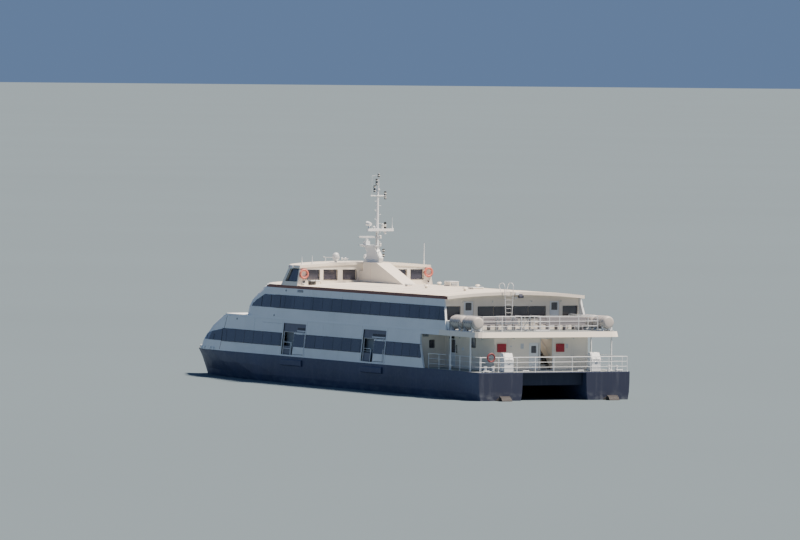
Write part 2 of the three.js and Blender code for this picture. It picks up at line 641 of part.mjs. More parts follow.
// Boxes and vents welded to the roof: along X, across Y, height above the roof
const ROOF_BOXES = [
  { x: [-5.05, -4.15], y: [-2.35, -1.65], height: 0.36 },
  { x: [-4.6, -4.2], y: [1.2, 1.6], height: 0.16 },
  { x: [4.55, 5.0], y: [4.55, 4.85], height: 0.34 },
  { x: [4.6, 5.05], y: [4.1, 4.42], height: 0.3 },
  { x: [4.72, 5.1], y: [1.9, 3.95], height: 0.12 },
  { x: [-12.6, -11.8], y: [-0.4, 0.4], height: 0.14 },
];
const ROOF_VENTS = [{ x: -2.5, y: -2.1 }, { x: -8.5, y: -2.1 }, { x: -8.5, y: 2.1 }, { x: -14.5, y: 2.1 }];

function roofFittings() {
  const boxes = ROOF_BOXES.map(({ x, y, height }) => {
    const top = roofTop((y[0] + y[1]) / 2);
    return slab(x, y, [top - 0.1, top + height]);
  });
  const vents = ROOF_VENTS.flatMap(({ x, y }) => {
    const top = roofTop(y);
    return [
      bar([x, y, top - 0.1], [x, y, top + 0.2], 0.1, 8),
      bar([x, y, top + 0.16], [x, y, top + 0.26], 0.2, 10, 0.12),
    ];
  });
  return [...boxes, ...vents];
}
add('roof', joined([bareRoof, ...roofFittings()]), cream, upper);

// Upper saloon's aft wall, set in between the side walls
const UPPER_DOOR = { y: [3.08, 3.86], foot: UPPER_Z + GAP + SILL, head: 6.8 };
const AFT_PANE = { from: -2.77, pitch: 1.39, z: [5.6, 6.4] };
const CORNER_PANE = { y: [4.16, 5.3], z: [5.48, 6.42] };

function upperAftWall() {
  const foot = UPPER_Z + GAP;
  const half = halfAt(foot) - WALL_T - GAP;
  const top = halfAt(7.4) - WALL_T - GAP;
  const outline = [[-half, foot], [half, foot], [top, 7.4], [-top, 7.4]];
  const bothSides = ([y0, y1], z0, z1) => [rectangle(y0, y1, z0, z1), rectangle(-y1, -y0, z0, z1)];
  const openings = [
    ...bothSides(CORNER_PANE.y, ...CORNER_PANE.z),
    ...bothSides(UPPER_DOOR.y, UPPER_DOOR.foot, UPPER_DOOR.head),
    ...Array.from({ length: 4 }, (_, i) => AFT_PANE.from + i * AFT_PANE.pitch)
      .map((y) => rectangle(y + 0.04, y + AFT_PANE.pitch - 0.08, ...AFT_PANE.z)),
  ];
  return underRoof(prism('x', AFT_WALL_X, AFT_WALL_X + HOUSE_T, outline, openings));
}
add('upper_aft_wall', upperAftWall(), cream, upper);

for (const { side, label } of SIDES) {
  const window = side > 0 ? [3.26, 3.68, 6.18, 6.66] : [-3.68, -3.26, 6.18, 6.66];
  const door = hingedDoor({ x: AFT_WALL_X + DOOR_DEPTH, hingeEdge: side * UPPER_DOOR.y[1],
    freeEdge: side * UPPER_DOOR.y[0], foot: UPPER_DOOR.foot, head: UPPER_DOOR.head, window });
  add(`upper_door_${label}`, door.body, white, upper, door.pivot);
}

// Glass bands of the upper saloon and the bow follow the curve of the fronts
const highBandTool = (side) => prism('y', side > 0 ? 0 : -FAR, side > 0 ? FAR : 0,
  [[-18.3, HIGH_BAND[0]], [12.9, HIGH_BAND[0]], [12.1, 5.95], [10.7, HIGH_BAND[1]], [-18.0, HIGH_BAND[1]]]);
const highBand = bandTube(HIGH_LEVELS, -18.5, GAP, BAND_T);
const lowBand = bandTube(BOW_LEVELS, 6, GAP, BAND_T);
const lowBandTool = (side) => prism('y', side > 0 ? 0 : -FAR, side > 0 ? FAR : 0,
  [[7.18, LOW_BAND[0]], [21.2, 2.76], [21.5, 3.05], [17.0, LOW_BAND[1]], [7.18, LOW_BAND[1]]]);
for (const { side, label } of SIDES) {
  add(`window_band_upper_${label}`, highBand.intersect(highBandTool(side)), glass, upper);
  add(`window_band_lower_forward_${label}`, lowBand.intersect(lowBandTool(side)), glass, lower);
}
const FRONT_GLASS_HALF = 4.75;
const frontGlass = (band, x, [low, high]) => band.intersect(
  prism('x', x, FAR, rectangle(-FRONT_GLASS_HALF, FRONT_GLASS_HALF, low, high)));
add('window_band_front_upper', frontGlass(highBand, 12.9, [5.42, 6.53]), glass, upper);
add('window_band_front_lower', frontGlass(lowBand, 18.4, [2.77, 4.08]), glass, lower);

// Wheelhouse
const bridge = group(upper);

const WHEEL_LEVELS = [
  { z: 7.0, start: 7.75, nose: 9.6, half: 5.66, power: 2.6 },
  { z: 9.0, start: 6.5, nose: 8.3, half: 5.3, power: 2.6 },
];

function wheelRing({ start, nose, power }, half, aft, grow) {
  const quarter = [[aft - grow, half + grow]];
  for (let i = 0; i <= FRONT_STEPS; i += 1) {
    const angle = (i / FRONT_STEPS) * Math.PI / 2;
    quarter.push([start + (nose - start + grow) * Math.sin(angle) ** (2 / power),
      (half + grow) * Math.cos(angle) ** (2 / power)]);
  }
  const port = quarter.slice(0, -1);
  return [...port.map(([x, y]) => [x, -y]), [quarter[quarter.length - 1][0], 0], ...port.slice().reverse()];
}

const wheelLoft = (grow, z0, z1) => loft([z0, z1].map((z) => {
  const [low, high] = WHEEL_LEVELS;
  const blend = (key) => THREE.MathUtils.mapLinear(z, low.z, high.z, low[key], high[key]);
  const plan = { start: blend('start'), nose: blend('nose'), power: low.power };
  return { z, ring: wheelRing(plan, blend('half'), WHEEL_AFT_X, grow) };
}));

const WHEEL_T = 0.1;
const WHEEL_GLASS_T = 0.03;
const WHEEL_WINDOWS = [[0.78, 1.84], [2.33, 3.43], [3.79, 4.81]];

function wheelhouse() {
  const walls = wheelLoft(0, 7.0, 9.0).subtract(wheelLoft(-WHEEL_T, 6.9, 9.1));
  const aftPanes = WHEEL_WINDOWS.flatMap(([a, b]) => [[a, b], [-b, -a]])
    .map(([a, b]) => prism('x', 5, 5.6, rectangle(a, b, 7.66, 8.36)));
  const frontPanes = Array.from({ length: 9 }, (_, i) => -4.95 + i * 1.1)
    .map((y) => prism('x', 6.6, 12, rectangle(y + 0.07, y + 1.03, 7.75, 8.42)));
  const sidePanes = prism('y', -7, 7, [[5.5, 7.52], [7.34, 7.52], [6.8, 8.44], [5.5, 8.44]]);
  const below = between(SEABED, (y) => roofTop(y) + GAP, [0, 14]);
  const above = between((y) => wheelUnder(y) - GAP, SKY, [0, 14]);
  return [...aftPanes, ...frontPanes, sidePanes, below, above].reduce((body, cut) => body.subtract(cut), walls);
}
add('wheelhouse', wheelhouse(), cream, bridge);

// One sheet of glass lies against the inside of the walls
const wheelGlass = wheelLoft(-WHEEL_T - GAP, 6.9, 9.1)
  .subtract(wheelLoft(-WHEEL_T - WHEEL_GLASS_T, 6.8, 9.2))
  .intersect(slab([0, 14], [-7, 7], [7.45, 8.48]))
  .subtract(between(SEABED, (y) => roofTop(y) + GAP, [0, 14]))
  .subtract(between((y) => wheelUnder(y) - GAP, SKY, [0, 14]));
add('wheelhouse_glass', wheelGlass, glass, bridge);

const wheelhouseRoof = between(wheelUnder, wheelTop, [0, 14]).intersect(wheelLoft(0.06, 8.0, 9.4));
add('wheelhouse_roof', wheelhouseRoof, white, bridge);

// Casing abaft the wheelhouse that carries the exhausts and backs the mast
const casingFoot = roofTop(0) + GAP;
const casing = prism('y', -0.55, 0.55,
  [[-1.9, casingFoot], [WHEEL_AFT_X - GAP, casingFoot], [WHEEL_AFT_X - GAP, 8.4], [4.9, 8.4],
    [4.9, 8.95], [2.4, 8.95]]);
const cutForWheelRoof = slab([4.6, 6], [-1, 1], [8.3, 9.2]);
add('mast_casing', casing.subtract(cutForWheelRoof), cream, bridge);

// Mast: fin foot, pole, arms, lamps and the radar's platform
const MAST_X = 3.45;
const FIN_FOOT = 8.95 + GAP;
const fin = prism('y', -0.16, 0.16, [[2.85, FIN_FOOT], [5.4, FIN_FOOT], [4.88, 9.35], [4.8, 9.75], [5.15, 10.02],
  [5.85, 10.12], [5.85, 10.17], [3.4, 10.17], [3.35, 9.9], [2.72, 9.3]]);
const RADAR = { x: 5.15, z: 10.62 };
const ARM_HIGH = { x: 3.35, z: 13.88, half: 0.62, radius: 0.035 };
const ARM_LOW = { x: [3.12, 3.4], y: [-1.2, 0.9], z: [11.27, 11.46] };
const LAMP_R = 0.085;

// Lamps: where each stands, from its foot to its head
const LAMPS = [
  { x: 3.3, y: 0, z: [15.3, 15.52] },
  { x: ARM_HIGH.x, y: -ARM_HIGH.half + 0.04, z: [13.87, 14.18] },
  { x: ARM_HIGH.x, y: -ARM_HIGH.half + 0.04, z: [13.62, 13.89] },
  { x: 3.26, y: -0.55, z: [11.4, 11.72] },
  { x: 3.26, y: -0.34, z: [11.4, 11.8] },
  { x: 3.26, y: -0.55, z: [11.05, 11.33] },
];
// Lamps on short arms that stand out from the pole: reach along X, height
const ARM_LAMPS = [{ x: 3.62, z: 15.0 }, { x: 3.62, z: 14.74 }, { x: 3.95, z: 14.5 }, { x: 3.95, z: 14.24 },
  { x: 2.95, z: 10.85 }, { x: 2.95, z: 10.28 }, { x: 2.4, z: 9.86 }, { x: 2.4, z: 9.5 }];

function mastLamps() {
  const standing = LAMPS.map(({ x, y, z }) => bar([x, y, z[0]], [x, y, z[1]], LAMP_R, 8));
  const reached = ARM_LAMPS.flatMap(({ x, z }) => [
    slab([Math.min(x, 3.3), Math.max(x, 3.42)], [-0.02, 0.02], [z - 0.12, z - 0.08]),
    bar([x, 0, z - 0.1], [x, 0, z + 0.1], LAMP_R, 8),
  ]);
  return [...standing, ...reached];
}

function mast() {
  const pole = bar([MAST_X, 0, 9.2], [MAST_X, 0, 14.4], 0.13, 10, 0.09);
  const topPole = bar([3.3, 0, 14.2], [3.3, 0, 15.35], 0.035, 6);
  const topPlate = slab([3.2, 3.6], [-0.06, 0.06], [14.28, 14.42]);
  const { x, z, half, radius } = ARM_HIGH;
  const armHigh = bar([x, half, z], [x, -half, z], radius);
  const armLow = slab(ARM_LOW.x, ARM_LOW.y, ARM_LOW.z);
  const searchlight = bar([3.1, 0.72, 11.78], [3.5, 0.82, 11.84], 0.13, 10, 0.17);
  const searchlightFoot = slab([3.22, 3.34], [0.72, 0.8], [11.4, 11.8]);
  const platform = slab([3.3, 5.95], [-0.25, 0.25], [10.15, 10.22]);
  const gearbox = slab([RADAR.x - 0.22, RADAR.x + 0.22], [-0.17, 0.17], [10.2, 10.48]);
  const pedestal = bar([RADAR.x, 0, 10.4], [RADAR.x, 0, RADAR.z], 0.12, 10);
  return joined([fin, pole, topPole, topPlate, armHigh, armLow, searchlightFoot, searchlight, platform, gearbox,
    pedestal, ...mastLamps()]);
}
add('mast', mast(), white, bridge);

const scanner = bar([RADAR.x, 0, RADAR.z + GAP], [RADAR.x, 0, RADAR.z + 0.12], 0.06, 10)
  .add(slab([RADAR.x - 0.06, RADAR.x + 0.06], [-0.62, 0.62], [RADAR.z + 0.1, RADAR.z + 0.24]));
add('radar_scanner', scanner, white, bridge, [RADAR.x, 0, RADAR.z]);

// Satellite dome on the wheelhouse roof
const DOME = { x: 6.0, y: 2.1 };
const domeProfile = [[0, -0.1], [0.1, -0.1], [0.1, 0.16], [0.24, 0.2], [0.27, 0.42], [0.24, 0.58], [0.14, 0.7],
  [0, 0.73]];
const dome = shifted(lathe(domeProfile), DOME.x, DOME.y, wheelTop(DOME.y))
  .subtract(between(SEABED, (y) => wheelTop(y) + GAP, [0, 14]));
add('satellite_dome', dome, white, bridge);

// Life rafts: two canisters in line on one cradle, each side
const RAFT = { y: 5.24, radius: 0.46, length: 1.8, aft: -22.6, gap: 0.14, lift: 0.16 };

function raftSet(side) {
  const z = UPPER_Z + RAFT.lift + RAFT.radius;
  const y = side * RAFT.y;
  const cans = [0, 1].map((i) => {
    const x0 = RAFT.aft + i * (RAFT.length + RAFT.gap);
    const body = bar([x0 + 0.1, y, z], [x0 + RAFT.length - 0.1, y, z], RAFT.radius, 12);
    const ends = [[x0, 0.1], [x0 + RAFT.length, -0.1]]
      .map(([x, inward]) => bar([x + inward, y, z], [x, y, z], RAFT.radius, 12, RAFT.radius * 0.82));
    return joined([body, ...ends]);
  });
  const span = 2 * RAFT.length + RAFT.gap;
  const rails = [-0.28, 0.28].map((dy) =>
    slab([RAFT.aft + 0.1, RAFT.aft + span - 0.1], [y + dy - 0.04, y + dy + 0.04],
      [UPPER_Z + GAP, UPPER_Z + RAFT.lift + 0.16]));
  const ties = [0.25, 1.55, 2.19, 3.49].map((dx) =>
    slab([RAFT.aft + dx - 0.04, RAFT.aft + dx + 0.04], [y - 0.3, y + 0.3],
      [UPPER_Z + 0.05, UPPER_Z + RAFT.lift + 0.05]));
  return joined([...cans, ...rails, ...ties]);
}
for (const { side, label } of SIDES) {
  add(`life_rafts_${label}`, raftSet(side), white, upper);
}

// Rails: a run of square posts and thinner bars along a line of corner points, every leg along x or y
const POST_HALF = 0.03;
const BAR_HALF = 0.021;
const GUARD = [1.05, 0.7, 0.35];

const rod = (from, to, half) => slab(...from.map((value, i) => [
  Math.min(value, to[i]) - (value === to[i] ? half : 0), Math.max(value, to[i]) + (value === to[i] ? half : 0)]));

function railing(corners, footZ, heights, pitch) {
  const posts = [];
  const bars = [];
  corners.slice(1).forEach((end, leg) => {
    const [x0, y0] = corners[leg];
    const [x1, y1] = end;
    const count = Math.max(1, Math.round(Math.hypot(x1 - x0, y1 - y0) / pitch));
    for (let i = leg ? 1 : 0; i <= count; i += 1) {
      const x = x0 + ((x1 - x0) * i) / count;
      const y = y0 + ((y1 - y0) * i) / count;
      posts.push(rod([x, y, footZ + GAP], [x, y, footZ + heights[0] + POST_HALF], POST_HALF));
    }
    for (const height of heights) {
      bars.push(rod([x0, y0, footZ + height], [x1, y1, footZ + height], BAR_HALF));
    }
  });
  return joined([...posts, ...bars]);
}
const upperRail = railing([[AFT_WALL_X - 0.06, 4.62], [-22.05, 4.62], [-22.05, -4.62], [AFT_WALL_X - 0.06, -4.62]],
  UPPER_Z, GUARD, 1.5);
add('upper_deck_rail', upperRail, steel, upper);

const aftRail = railing([[-24.1, 5.9], [-24.1, -5.9]], DECK_Z, GUARD, 1.5);
add('main_deck_aft_rail', aftRail, steel, lower);

// Walkway edge: pillars under the upper deck, stanchions and bars
function walkwayEdge() {
  const y = 5.66;
  const pillars = [-19.2, -22.2].map((x) => rod([x, y, DECK_Z + GAP], [x, y, FASCIA_BOTTOM - GAP], 0.05));
  const rail = railing([[WING_X - 0.1, y], [-23.8, y]], DECK_Z, GUARD, 1.6);
  return joined([...pillars, rail]);
}
const portEdge = walkwayEdge();
for (const { side, label } of SIDES) {
  add(`walkway_rail_${label}`, forSide(portEdge, side), steel, lower);
}

// Roof ladder with two hoops
const LADDER = { x: ROOF_AFT_X - 0.12, y: [0.87, 0.47], top: 8.3, reach: 0.7, rung: 0.3, rungs: 8 };

function roofLadder() {
  const { x, top, reach } = LADDER;
  const sides = LADDER.y.map((y) => joined([
    rod([x, y, UPPER_Z + GAP], [x, y, top], POST_HALF),
    rod([x, y, top - BAR_HALF], [x + reach, y, top - BAR_HALF], BAR_HALF),
    rod([x + reach - 0.05, y, top - BAR_HALF], [x + reach - 0.05, y, roofTop(y) + GAP], 0.024),
  ]));
  const rungs = Array.from({ length: LADDER.rungs }, (_, i) => {
    const z = UPPER_Z + (i + 1) * LADDER.rung;
    return rod([x, LADDER.y[0], z], [x, LADDER.y[1], z], 0.016);
  });
  return joined([...sides, ...rungs]);
}
add('roof_ladder', roofLadder(), steel, upper);

// Open-deck benches: two rows facing forward on common runners, each side
const BENCH = { rows: [-20.75, -19.55], y: [1.15, 4.3], depth: 0.46, seat: 0.44, back: 0.92, slat: 0.05 };

function benches() {
  const foot = UPPER_Z + GAP;
  const middle = (BENCH.y[0] + BENCH.y[1]) / 2;
  const rows = BENCH.rows.flatMap((x) => [
    slab([x, x + BENCH.depth], BENCH.y, [UPPER_Z + BENCH.seat - BENCH.slat, UPPER_Z + BENCH.seat]),
    slab([x - BENCH.slat, x], BENCH.y, [UPPER_Z + BENCH.seat - BENCH.slat, UPPER_Z + BENCH.back]),
    ...[BENCH.y[0] + 0.2, middle, BENCH.y[1] - 0.2].map((y) =>
      slab([x - BENCH.slat, x + BENCH.depth - 0.06], [y - 0.03, y + 0.03], [foot, UPPER_Z + BENCH.seat - 0.02])),
  ]);
  const runners = [BENCH.y[0] + 0.2, BENCH.y[1] - 0.2].map((y) =>
    slab([BENCH.rows[0], BENCH.rows[1] + 0.3], [y - 0.03, y + 0.03], [foot, UPPER_Z + 0.05]));
  return joined([...rows, ...runners]);
}
const portBenches = benches();
for (const { side, label } of SIDES) {
  add(`deck_benches_${label}`, forSide(portBenches, side), steel, upper);
}

// A boarding gangway stowed on its side against the aft rail
const GANGWAY = { x: [-21.94, -21.72], y: [0.75, 3.45], z: [4.86, 5.9], bays: 4, chord: 0.05 };

function gangway() {
  const { x, y, z, bays, chord } = GANGWAY;
  const pitch = (y[1] - y[0]) / bays;
  const posts = Array.from({ length: bays + 1 }, (_, i) => y[0] + i * pitch);
  const chords = [z[0] + chord / 2, (z[0] + z[1]) / 2, z[1] - chord / 2].map((height) =>
    slab(x, [y[0] - 0.03, y[1] + 0.03], [height - chord / 2, height + chord / 2]));
  const uprights = posts.map((at) => slab(x, [at - 0.02, at + 0.02], z));
  const braces = posts.slice(1).map((at, i) => {
    const [low, high] = i % 2 ? [at - pitch, at] : [at, at - pitch];
    return prism('x', x[0], x[0] + 0.04, [[low - 0.03, z[0] + 0.01], [low + 0.03, z[0] + 0.01],
      [high + 0.03, z[1] - 0.01], [high - 0.03, z[1] - 0.01]]);
  });
  const feet = [y[0] + 0.3, y[1] - 0.3].map((at) => slab(x, [at - 0.06, at + 0.06], [UPPER_Z + GAP, z[0] + 0.01]));
  return joined([...chords, ...uprights, ...braces, ...feet]);
}
add('gangway', gangway(), steel, upper);

// Steering nozzles and reversing buckets of the water jets
const NOZZLE = { length: 0.42 };
const BUCKET_X = JET_X - 0.1; // the bucket's pivot
const BUCKET_ARM = 0.36; // half the width between the bucket's arms

function nozzle(y) {
  const tube = bar([JET_X + 0.02, y, JET_Z], [JET_X - NOZZLE.length, y, JET_Z], 0.3, 12, 0.26)
    .subtract(bar([JET_X + 0.1, y, JET_Z], [JET_X - NOZZLE.length - 0.1, y, JET_Z], 0.25, 12, 0.21));
  const pins = [1, -1].map((up) =>
    bar([JET_X, y, JET_Z + up * 0.28], [JET_X, y, JET_Z + up * (JET_HOUSING.ear[0] - GAP)], 0.06, 10));
  const lugs = [1, -1].map((out) =>
    bar([BUCKET_X, y + out * 0.27, JET_Z], [BUCKET_X, y + out * BUCKET_ARM, JET_Z], 0.05, 10));
  return joined([tube, ...pins, ...lugs]);
}

function bucket(y) {
  const arms = [1, -1].map((out) => {
    const y0 = y + out * (BUCKET_ARM + GAP);
    const outline = [[BUCKET_X - 0.08, JET_Z - 0.08], [BUCKET_X + 0.08, JET_Z - 0.08], [BUCKET_X + 0.08, JET_Z + 0.1],
      [BUCKET_X - 0.15, JET_Z + 0.62], [BUCKET_X - 0.4, JET_Z + 0.5]];
    return prism('y', Math.min(y0, y0 + out * 0.05), Math.max(y0, y0 + out * 0.05), outline);
  });
  const scoop = Array.from({ length: 7 }, (_, i) => THREE.MathUtils.degToRad(100 + i * 10));
  const arc = (radius) => scoop.map((angle) => [
    BUCKET_X + radius * Math.cos(angle), JET_Z + radius * Math.sin(angle)]);
  const shell = prism('y', y - 0.4, y + 0.4, [...arc(0.62), ...arc(0.57).reverse()]);
  return joined([...arms, shell]);
}
for (const { side, label } of SIDES) {
  add(`jet_nozzle_${label}`, nozzle(side * HULL_Y), bronze, hulls, [JET_X, side * HULL_Y, JET_Z]);
  add(`jet_bucket_${label}`, bucket(side * HULL_Y), bronze, hulls, [BUCKET_X, side * HULL_Y, JET_Z]);
}

export default ferry;
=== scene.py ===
"""Passenger ferry, half-scale model: the finishes and fine pieces around its fixed frame.

Sizes are metres of the full-size vessel. SCALE turns them into model metres where a mesh is made.
"""

import math

import bmesh
import bpy
from mathutils import Matrix, Vector


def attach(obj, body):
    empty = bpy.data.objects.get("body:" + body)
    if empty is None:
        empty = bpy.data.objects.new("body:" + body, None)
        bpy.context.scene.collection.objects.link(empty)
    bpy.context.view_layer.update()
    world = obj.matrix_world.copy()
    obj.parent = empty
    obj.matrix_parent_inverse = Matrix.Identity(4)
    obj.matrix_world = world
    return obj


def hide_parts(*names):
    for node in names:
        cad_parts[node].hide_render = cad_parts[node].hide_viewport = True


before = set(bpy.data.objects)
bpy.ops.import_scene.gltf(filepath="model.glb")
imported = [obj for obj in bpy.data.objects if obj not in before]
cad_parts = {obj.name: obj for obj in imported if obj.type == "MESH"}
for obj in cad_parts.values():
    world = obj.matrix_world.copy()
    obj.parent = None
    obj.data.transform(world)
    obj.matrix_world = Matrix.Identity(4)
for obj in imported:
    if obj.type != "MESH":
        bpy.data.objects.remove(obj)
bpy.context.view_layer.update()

bl_info = {
    "name": "Passenger ferry looks",
    "version": (1, 0, 0),
    "blender": (4, 5, 0),
    "location": "View3D > Sidebar > Ferry",
    "description": "Finishes and fine pieces of a half-scale passenger ferry",
    "category": "Object",
}

SCALE = 0.5  # model metres for one metre of the vessel
SIDES = {"port": 1, "starboard": -1}
UP = Vector((0, 0, 1))

# Driving dimensions shared with the frame
HALF_BEAM = 6.05
TRANSOM_X = -24.25
HULL_Y = 4.3
LEAN = 0.104
DECK_Z = 2.0
UPPER_Z = 4.8
HOUSE_Y = 3.75
HOUSE_FWD_X = -14.75
HOUSE_AFT_X = -22.2
AFT_WALL_X = -17.7
ROOF_AFT_X = -18.4
ROOF_HALF = 5.52
ROOF_EDGE_Z = 7.2
ROOF_CAMBER = 0.28
WHEEL_AFT_X = 5.3
WHEEL_FOOT_Z = 7.0
WHEEL_HALF = 5.66
WHEEL_LEAN = 0.18
WHEEL_EDGE_Z = 8.7
WHEEL_ROOF_HALF = 5.5
WHEEL_CAMBER = 0.24
RECESS = 0.085
GUARD_HEIGHTS = (1.05, 0.7, 0.35)
BAYS = {
    "forward": {"bay": (3.4, 7.05), "way": (5.34, 6.99), "leaf": (3.49, 5.27)},
    "aft": {"bay": (-9.5, -5.9), "way": (-7.6, -5.96), "leaf": (-9.42, -7.66)},
}


def side_at(z):
    """Half-breadth of the leaning side at a height."""
    return HALF_BEAM - LEAN * (z - DECK_Z)


def roof_top(y):
    """Height of the cambered saloon roof."""
    return ROOF_EDGE_Z + ROOF_CAMBER * (1 - (y / ROOF_HALF) ** 2)


def wheel_side(z):
    """Half-breadth of the wheelhouse at a height."""
    return WHEEL_HALF - WHEEL_LEAN * (z - WHEEL_FOOT_Z)


def wheel_top(y):
    """Height of the cambered wheelhouse roof."""
    return WHEEL_EDGE_Z + WHEEL_CAMBER * (1 - (y / WHEEL_ROOF_HALF) ** 2)


# Mesh making


def place(made, paint):
    """Gives the faces that an operator has just made their material."""
    for vert in made["verts"]:
        for face in vert.link_faces:
            face.material_index = paint
    return made["verts"]


def box(bm, x, y, z, paint=0):
    """A block between two places along each axis."""
    low, high = Vector((x[0], y[0], z[0])), Vector((x[1], y[1], z[1]))
    matrix = Matrix.Translation((low + high) / 2) @ Matrix.Diagonal((*(high - low), 1))
    return place(bmesh.ops.create_cube(bm, size=1, matrix=matrix), paint)


def block(bm, centre, size, paint=0, turn=None):
    """A block by its centre and size, turned about its centre."""
    matrix = Matrix.Translation(Vector(centre)) @ (turn or Matrix()) @ Matrix.Diagonal((*size, 1))
    return place(bmesh.ops.create_cube(bm, size=1, matrix=matrix), paint)


def rod(bm, start, end, radius, paint=0, sides=8, end_radius=None):
    """A round bar or cone between two points."""
    a, b = Vector(start), Vector(end)
    along = b - a
    matrix = Matrix.Translation((a + b) / 2) @ along.to_track_quat("Z", "Y").to_matrix().to_4x4()
    made = bmesh.ops.create_cone(
        bm, cap_ends=True, cap_tris=False, segments=sides, radius1=radius,
        radius2=radius if end_radius is None else end_radius, depth=along.length, matrix=matrix)
    return place(made, paint)


def ball(bm, centre, radius, paint=0, steps=8):
    """A round knob."""
    made = bmesh.ops.create_uvsphere(
        bm, u_segments=steps, v_segments=max(4, steps // 2), radius=radius,
        matrix=Matrix.Translation(Vector(centre)))
    return place(made, paint)


def pipe(bm, points, radius, paint=0, sides=8):
    """A bent tube, rounded at each corner."""
    for start, end in zip(points, points[1:]):
        rod(bm, start, end, radius, paint, sides)
    for corner in points[1:-1]:
        ball(bm, corner, radius, paint, sides)


def arc_points(centre, radius, start, end, steps, across, up):
    """Points of an arc in the plane of two directions."""
    centre, across, up = Vector(centre), Vector(across), Vector(up)
    angles = [math.radians(start + (end - start) * i / steps) for i in range(steps + 1)]
    return [centre + radius * (math.cos(a) * across + math.sin(a) * up) for a in angles]


def turned(bm, profile, foot, axis=(0, 0, 1), paint=0, steps=16):
    """A profile of (radius, height) points spun about an axis through its foot."""
    axis = Vector(axis).normalized()
    turn = axis.to_track_quat("Z", "Y").to_matrix()
    foot = Vector(foot)
    verts = [bm.verts.new(foot + turn @ Vector((r, 0, h))) for r, h in profile]
    edges = [bm.edges.new(pair) for pair in zip(verts, verts[1:])]
    bmesh.ops.spin(
        bm, geom=verts + edges, cent=foot, axis=axis, dvec=(0, 0, 0), angle=math.tau, steps=steps,
        use_merge=True, use_duplicate=False)
    island = grown(verts)
    for face in {f for v in island for f in v.link_faces}:
        face.material_index = paint
    bmesh.ops.remove_doubles(bm, verts=list(island), dist=1e-5)


def grown(seed):
    """Every vertex joined by edges to the seed."""
    found, stack = set(seed), list(seed)
    while stack:
        for edge in stack.pop().link_edges:
            for vert in edge.verts:
                if vert not in found:
                    found.add(vert)
                    stack.append(vert)
    return found


def hoop(bm, centre, radius, section, axis, paint=0, steps=20, sides=8, stripes=None):
    """A ring of round section; stripes are (count, share, paint) of bands round it."""
    axis = Vector(axis).normalized()
    across = axis.orthogonal().normalized()
    centre = Vector(centre)
    circle = bmesh.ops.create_circle(
        bm, cap_ends=False, segments=sides, radius=section,
        matrix=Matrix.Translation(centre + across * radius)
        @ across.cross(axis).to_track_quat("Z", "Y").to_matrix().to_4x4())
    verts = circle["verts"]
    edges = list({e for v in verts for e in v.link_edges})
    bmesh.ops.spin(bm, geom=verts + edges, cent=centre, axis=axis, dvec=(0, 0, 0), angle=math.tau, steps=steps,
                   use_merge=True, use_duplicate=False)
    for face in {f for v in grown(verts) for f in v.link_faces}:
        face.material_index = paint
        if stripes:
            count, share, band = stripes
            out = face.calc_center_median() - centre
            angle = math.atan2(out.dot(axis.cross(across)), out.dot(across)) / math.tau % 1
            if (angle * count + share / 2) % 1 < share:
                face.material_index = band


def sheet_of(bm, outline, depth, paint=0):
    """A flat outline of points pushed along a direction."""
    verts = [bm.verts.new(point) for point in outline]
    face = bm.faces.new(verts)
    face.material_index = paint
    pushed = bmesh.ops.extrude_face_region(bm, geom=[face])
    moved = [v for v in pushed["geom"] if isinstance(v, bmesh.types.BMVert)]
    bmesh.ops.translate(bm, vec=Vector(depth), verts=moved)
    for f in {f for v in moved + verts for f in v.link_faces}:
        f.material_index = paint


def frame_of(bm, x, y, z, width, paint=0):
    """A rectangular frame in the plane of the axis whose two places are given as its depth."""
    if y[1] - y[0] < x[1] - x[0]:
        box(bm, (x[0] - width, x[0]), y, (z[0] - width, z[1] + width), paint)
        box(bm, (x[1], x[1] + width), y, (z[0] - width, z[1] + width), paint)
        box(bm, x, y, (z[0] - width, z[0]), paint)
        box(bm, x, y, (z[1], z[1] + width), paint)
        return
    box(bm, x, (y[0] - width, y[0]), (z[0] - width, z[1] + width), paint)
    box(bm, x, (y[1], y[1] + width), (z[0] - width, z[1] + width), paint)
    box(bm, x, y, (z[0] - width, z[0]), paint)
    box(bm, x, y, (z[1], z[1] + width), paint)


def lean(bm):
    """Leans everything made so far with the side of the vessel."""
    shear = Matrix(((1, 0, 0, 0), (0, 1, -LEAN, LEAN * DECK_Z), (0, 0, 1, 0), (0, 0, 0, 1)))
    bmesh.ops.transform(bm, matrix=shear, verts=bm.verts)


def to_side(bm, side):
    """Moves a port piece to the side that it is for."""
    bmesh.ops.scale(bm, vec=(1, side, 1), verts=bm.verts)


def both_sides(bm):
    """Adds the starboard copy of a port piece."""
    copy = bmesh.ops.duplicate(bm, geom=bm.verts[:] + bm.edges[:] + bm.faces[:])
    bmesh.ops.scale(bm, vec=(1, -1, 1), verts=[v for v in copy["geom"] if isinstance(v, bmesh.types.BMVert)])


def finish_piece(bm, name, paints, body="root", bevel=0.0, replaces=(), smooth=40):
    """Makes the object: model scale, normals, materials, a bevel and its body."""
    bmesh.ops.scale(bm, vec=(SCALE,) * 3, verts=bm.verts)
    bmesh.ops.recalc_face_normals(bm, faces=bm.faces)
    mesh = bpy.data.meshes.new(name)
    bm.to_mesh(mesh)
    bm.free()
    for paint in paints:
        mesh.materials.append(material(paint))
    mesh.shade_smooth()
    mesh.set_sharp_from_angle(angle=math.radians(smooth))
    piece = bpy.data.objects.new(name, mesh)
    bpy.context.scene.collection.objects.link(piece)
    if bevel:
        edge = piece.modifiers.new("Eased edges", "BEVEL")
        edge.width = bevel * SCALE
        edge.segments = 2
        edge.limit_method = "ANGLE"
        edge.angle_limit = math.radians(50)
        edge.use_clamp_overlap = True
    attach(piece, body)
    if replaces:
        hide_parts(*replaces)
    return piece


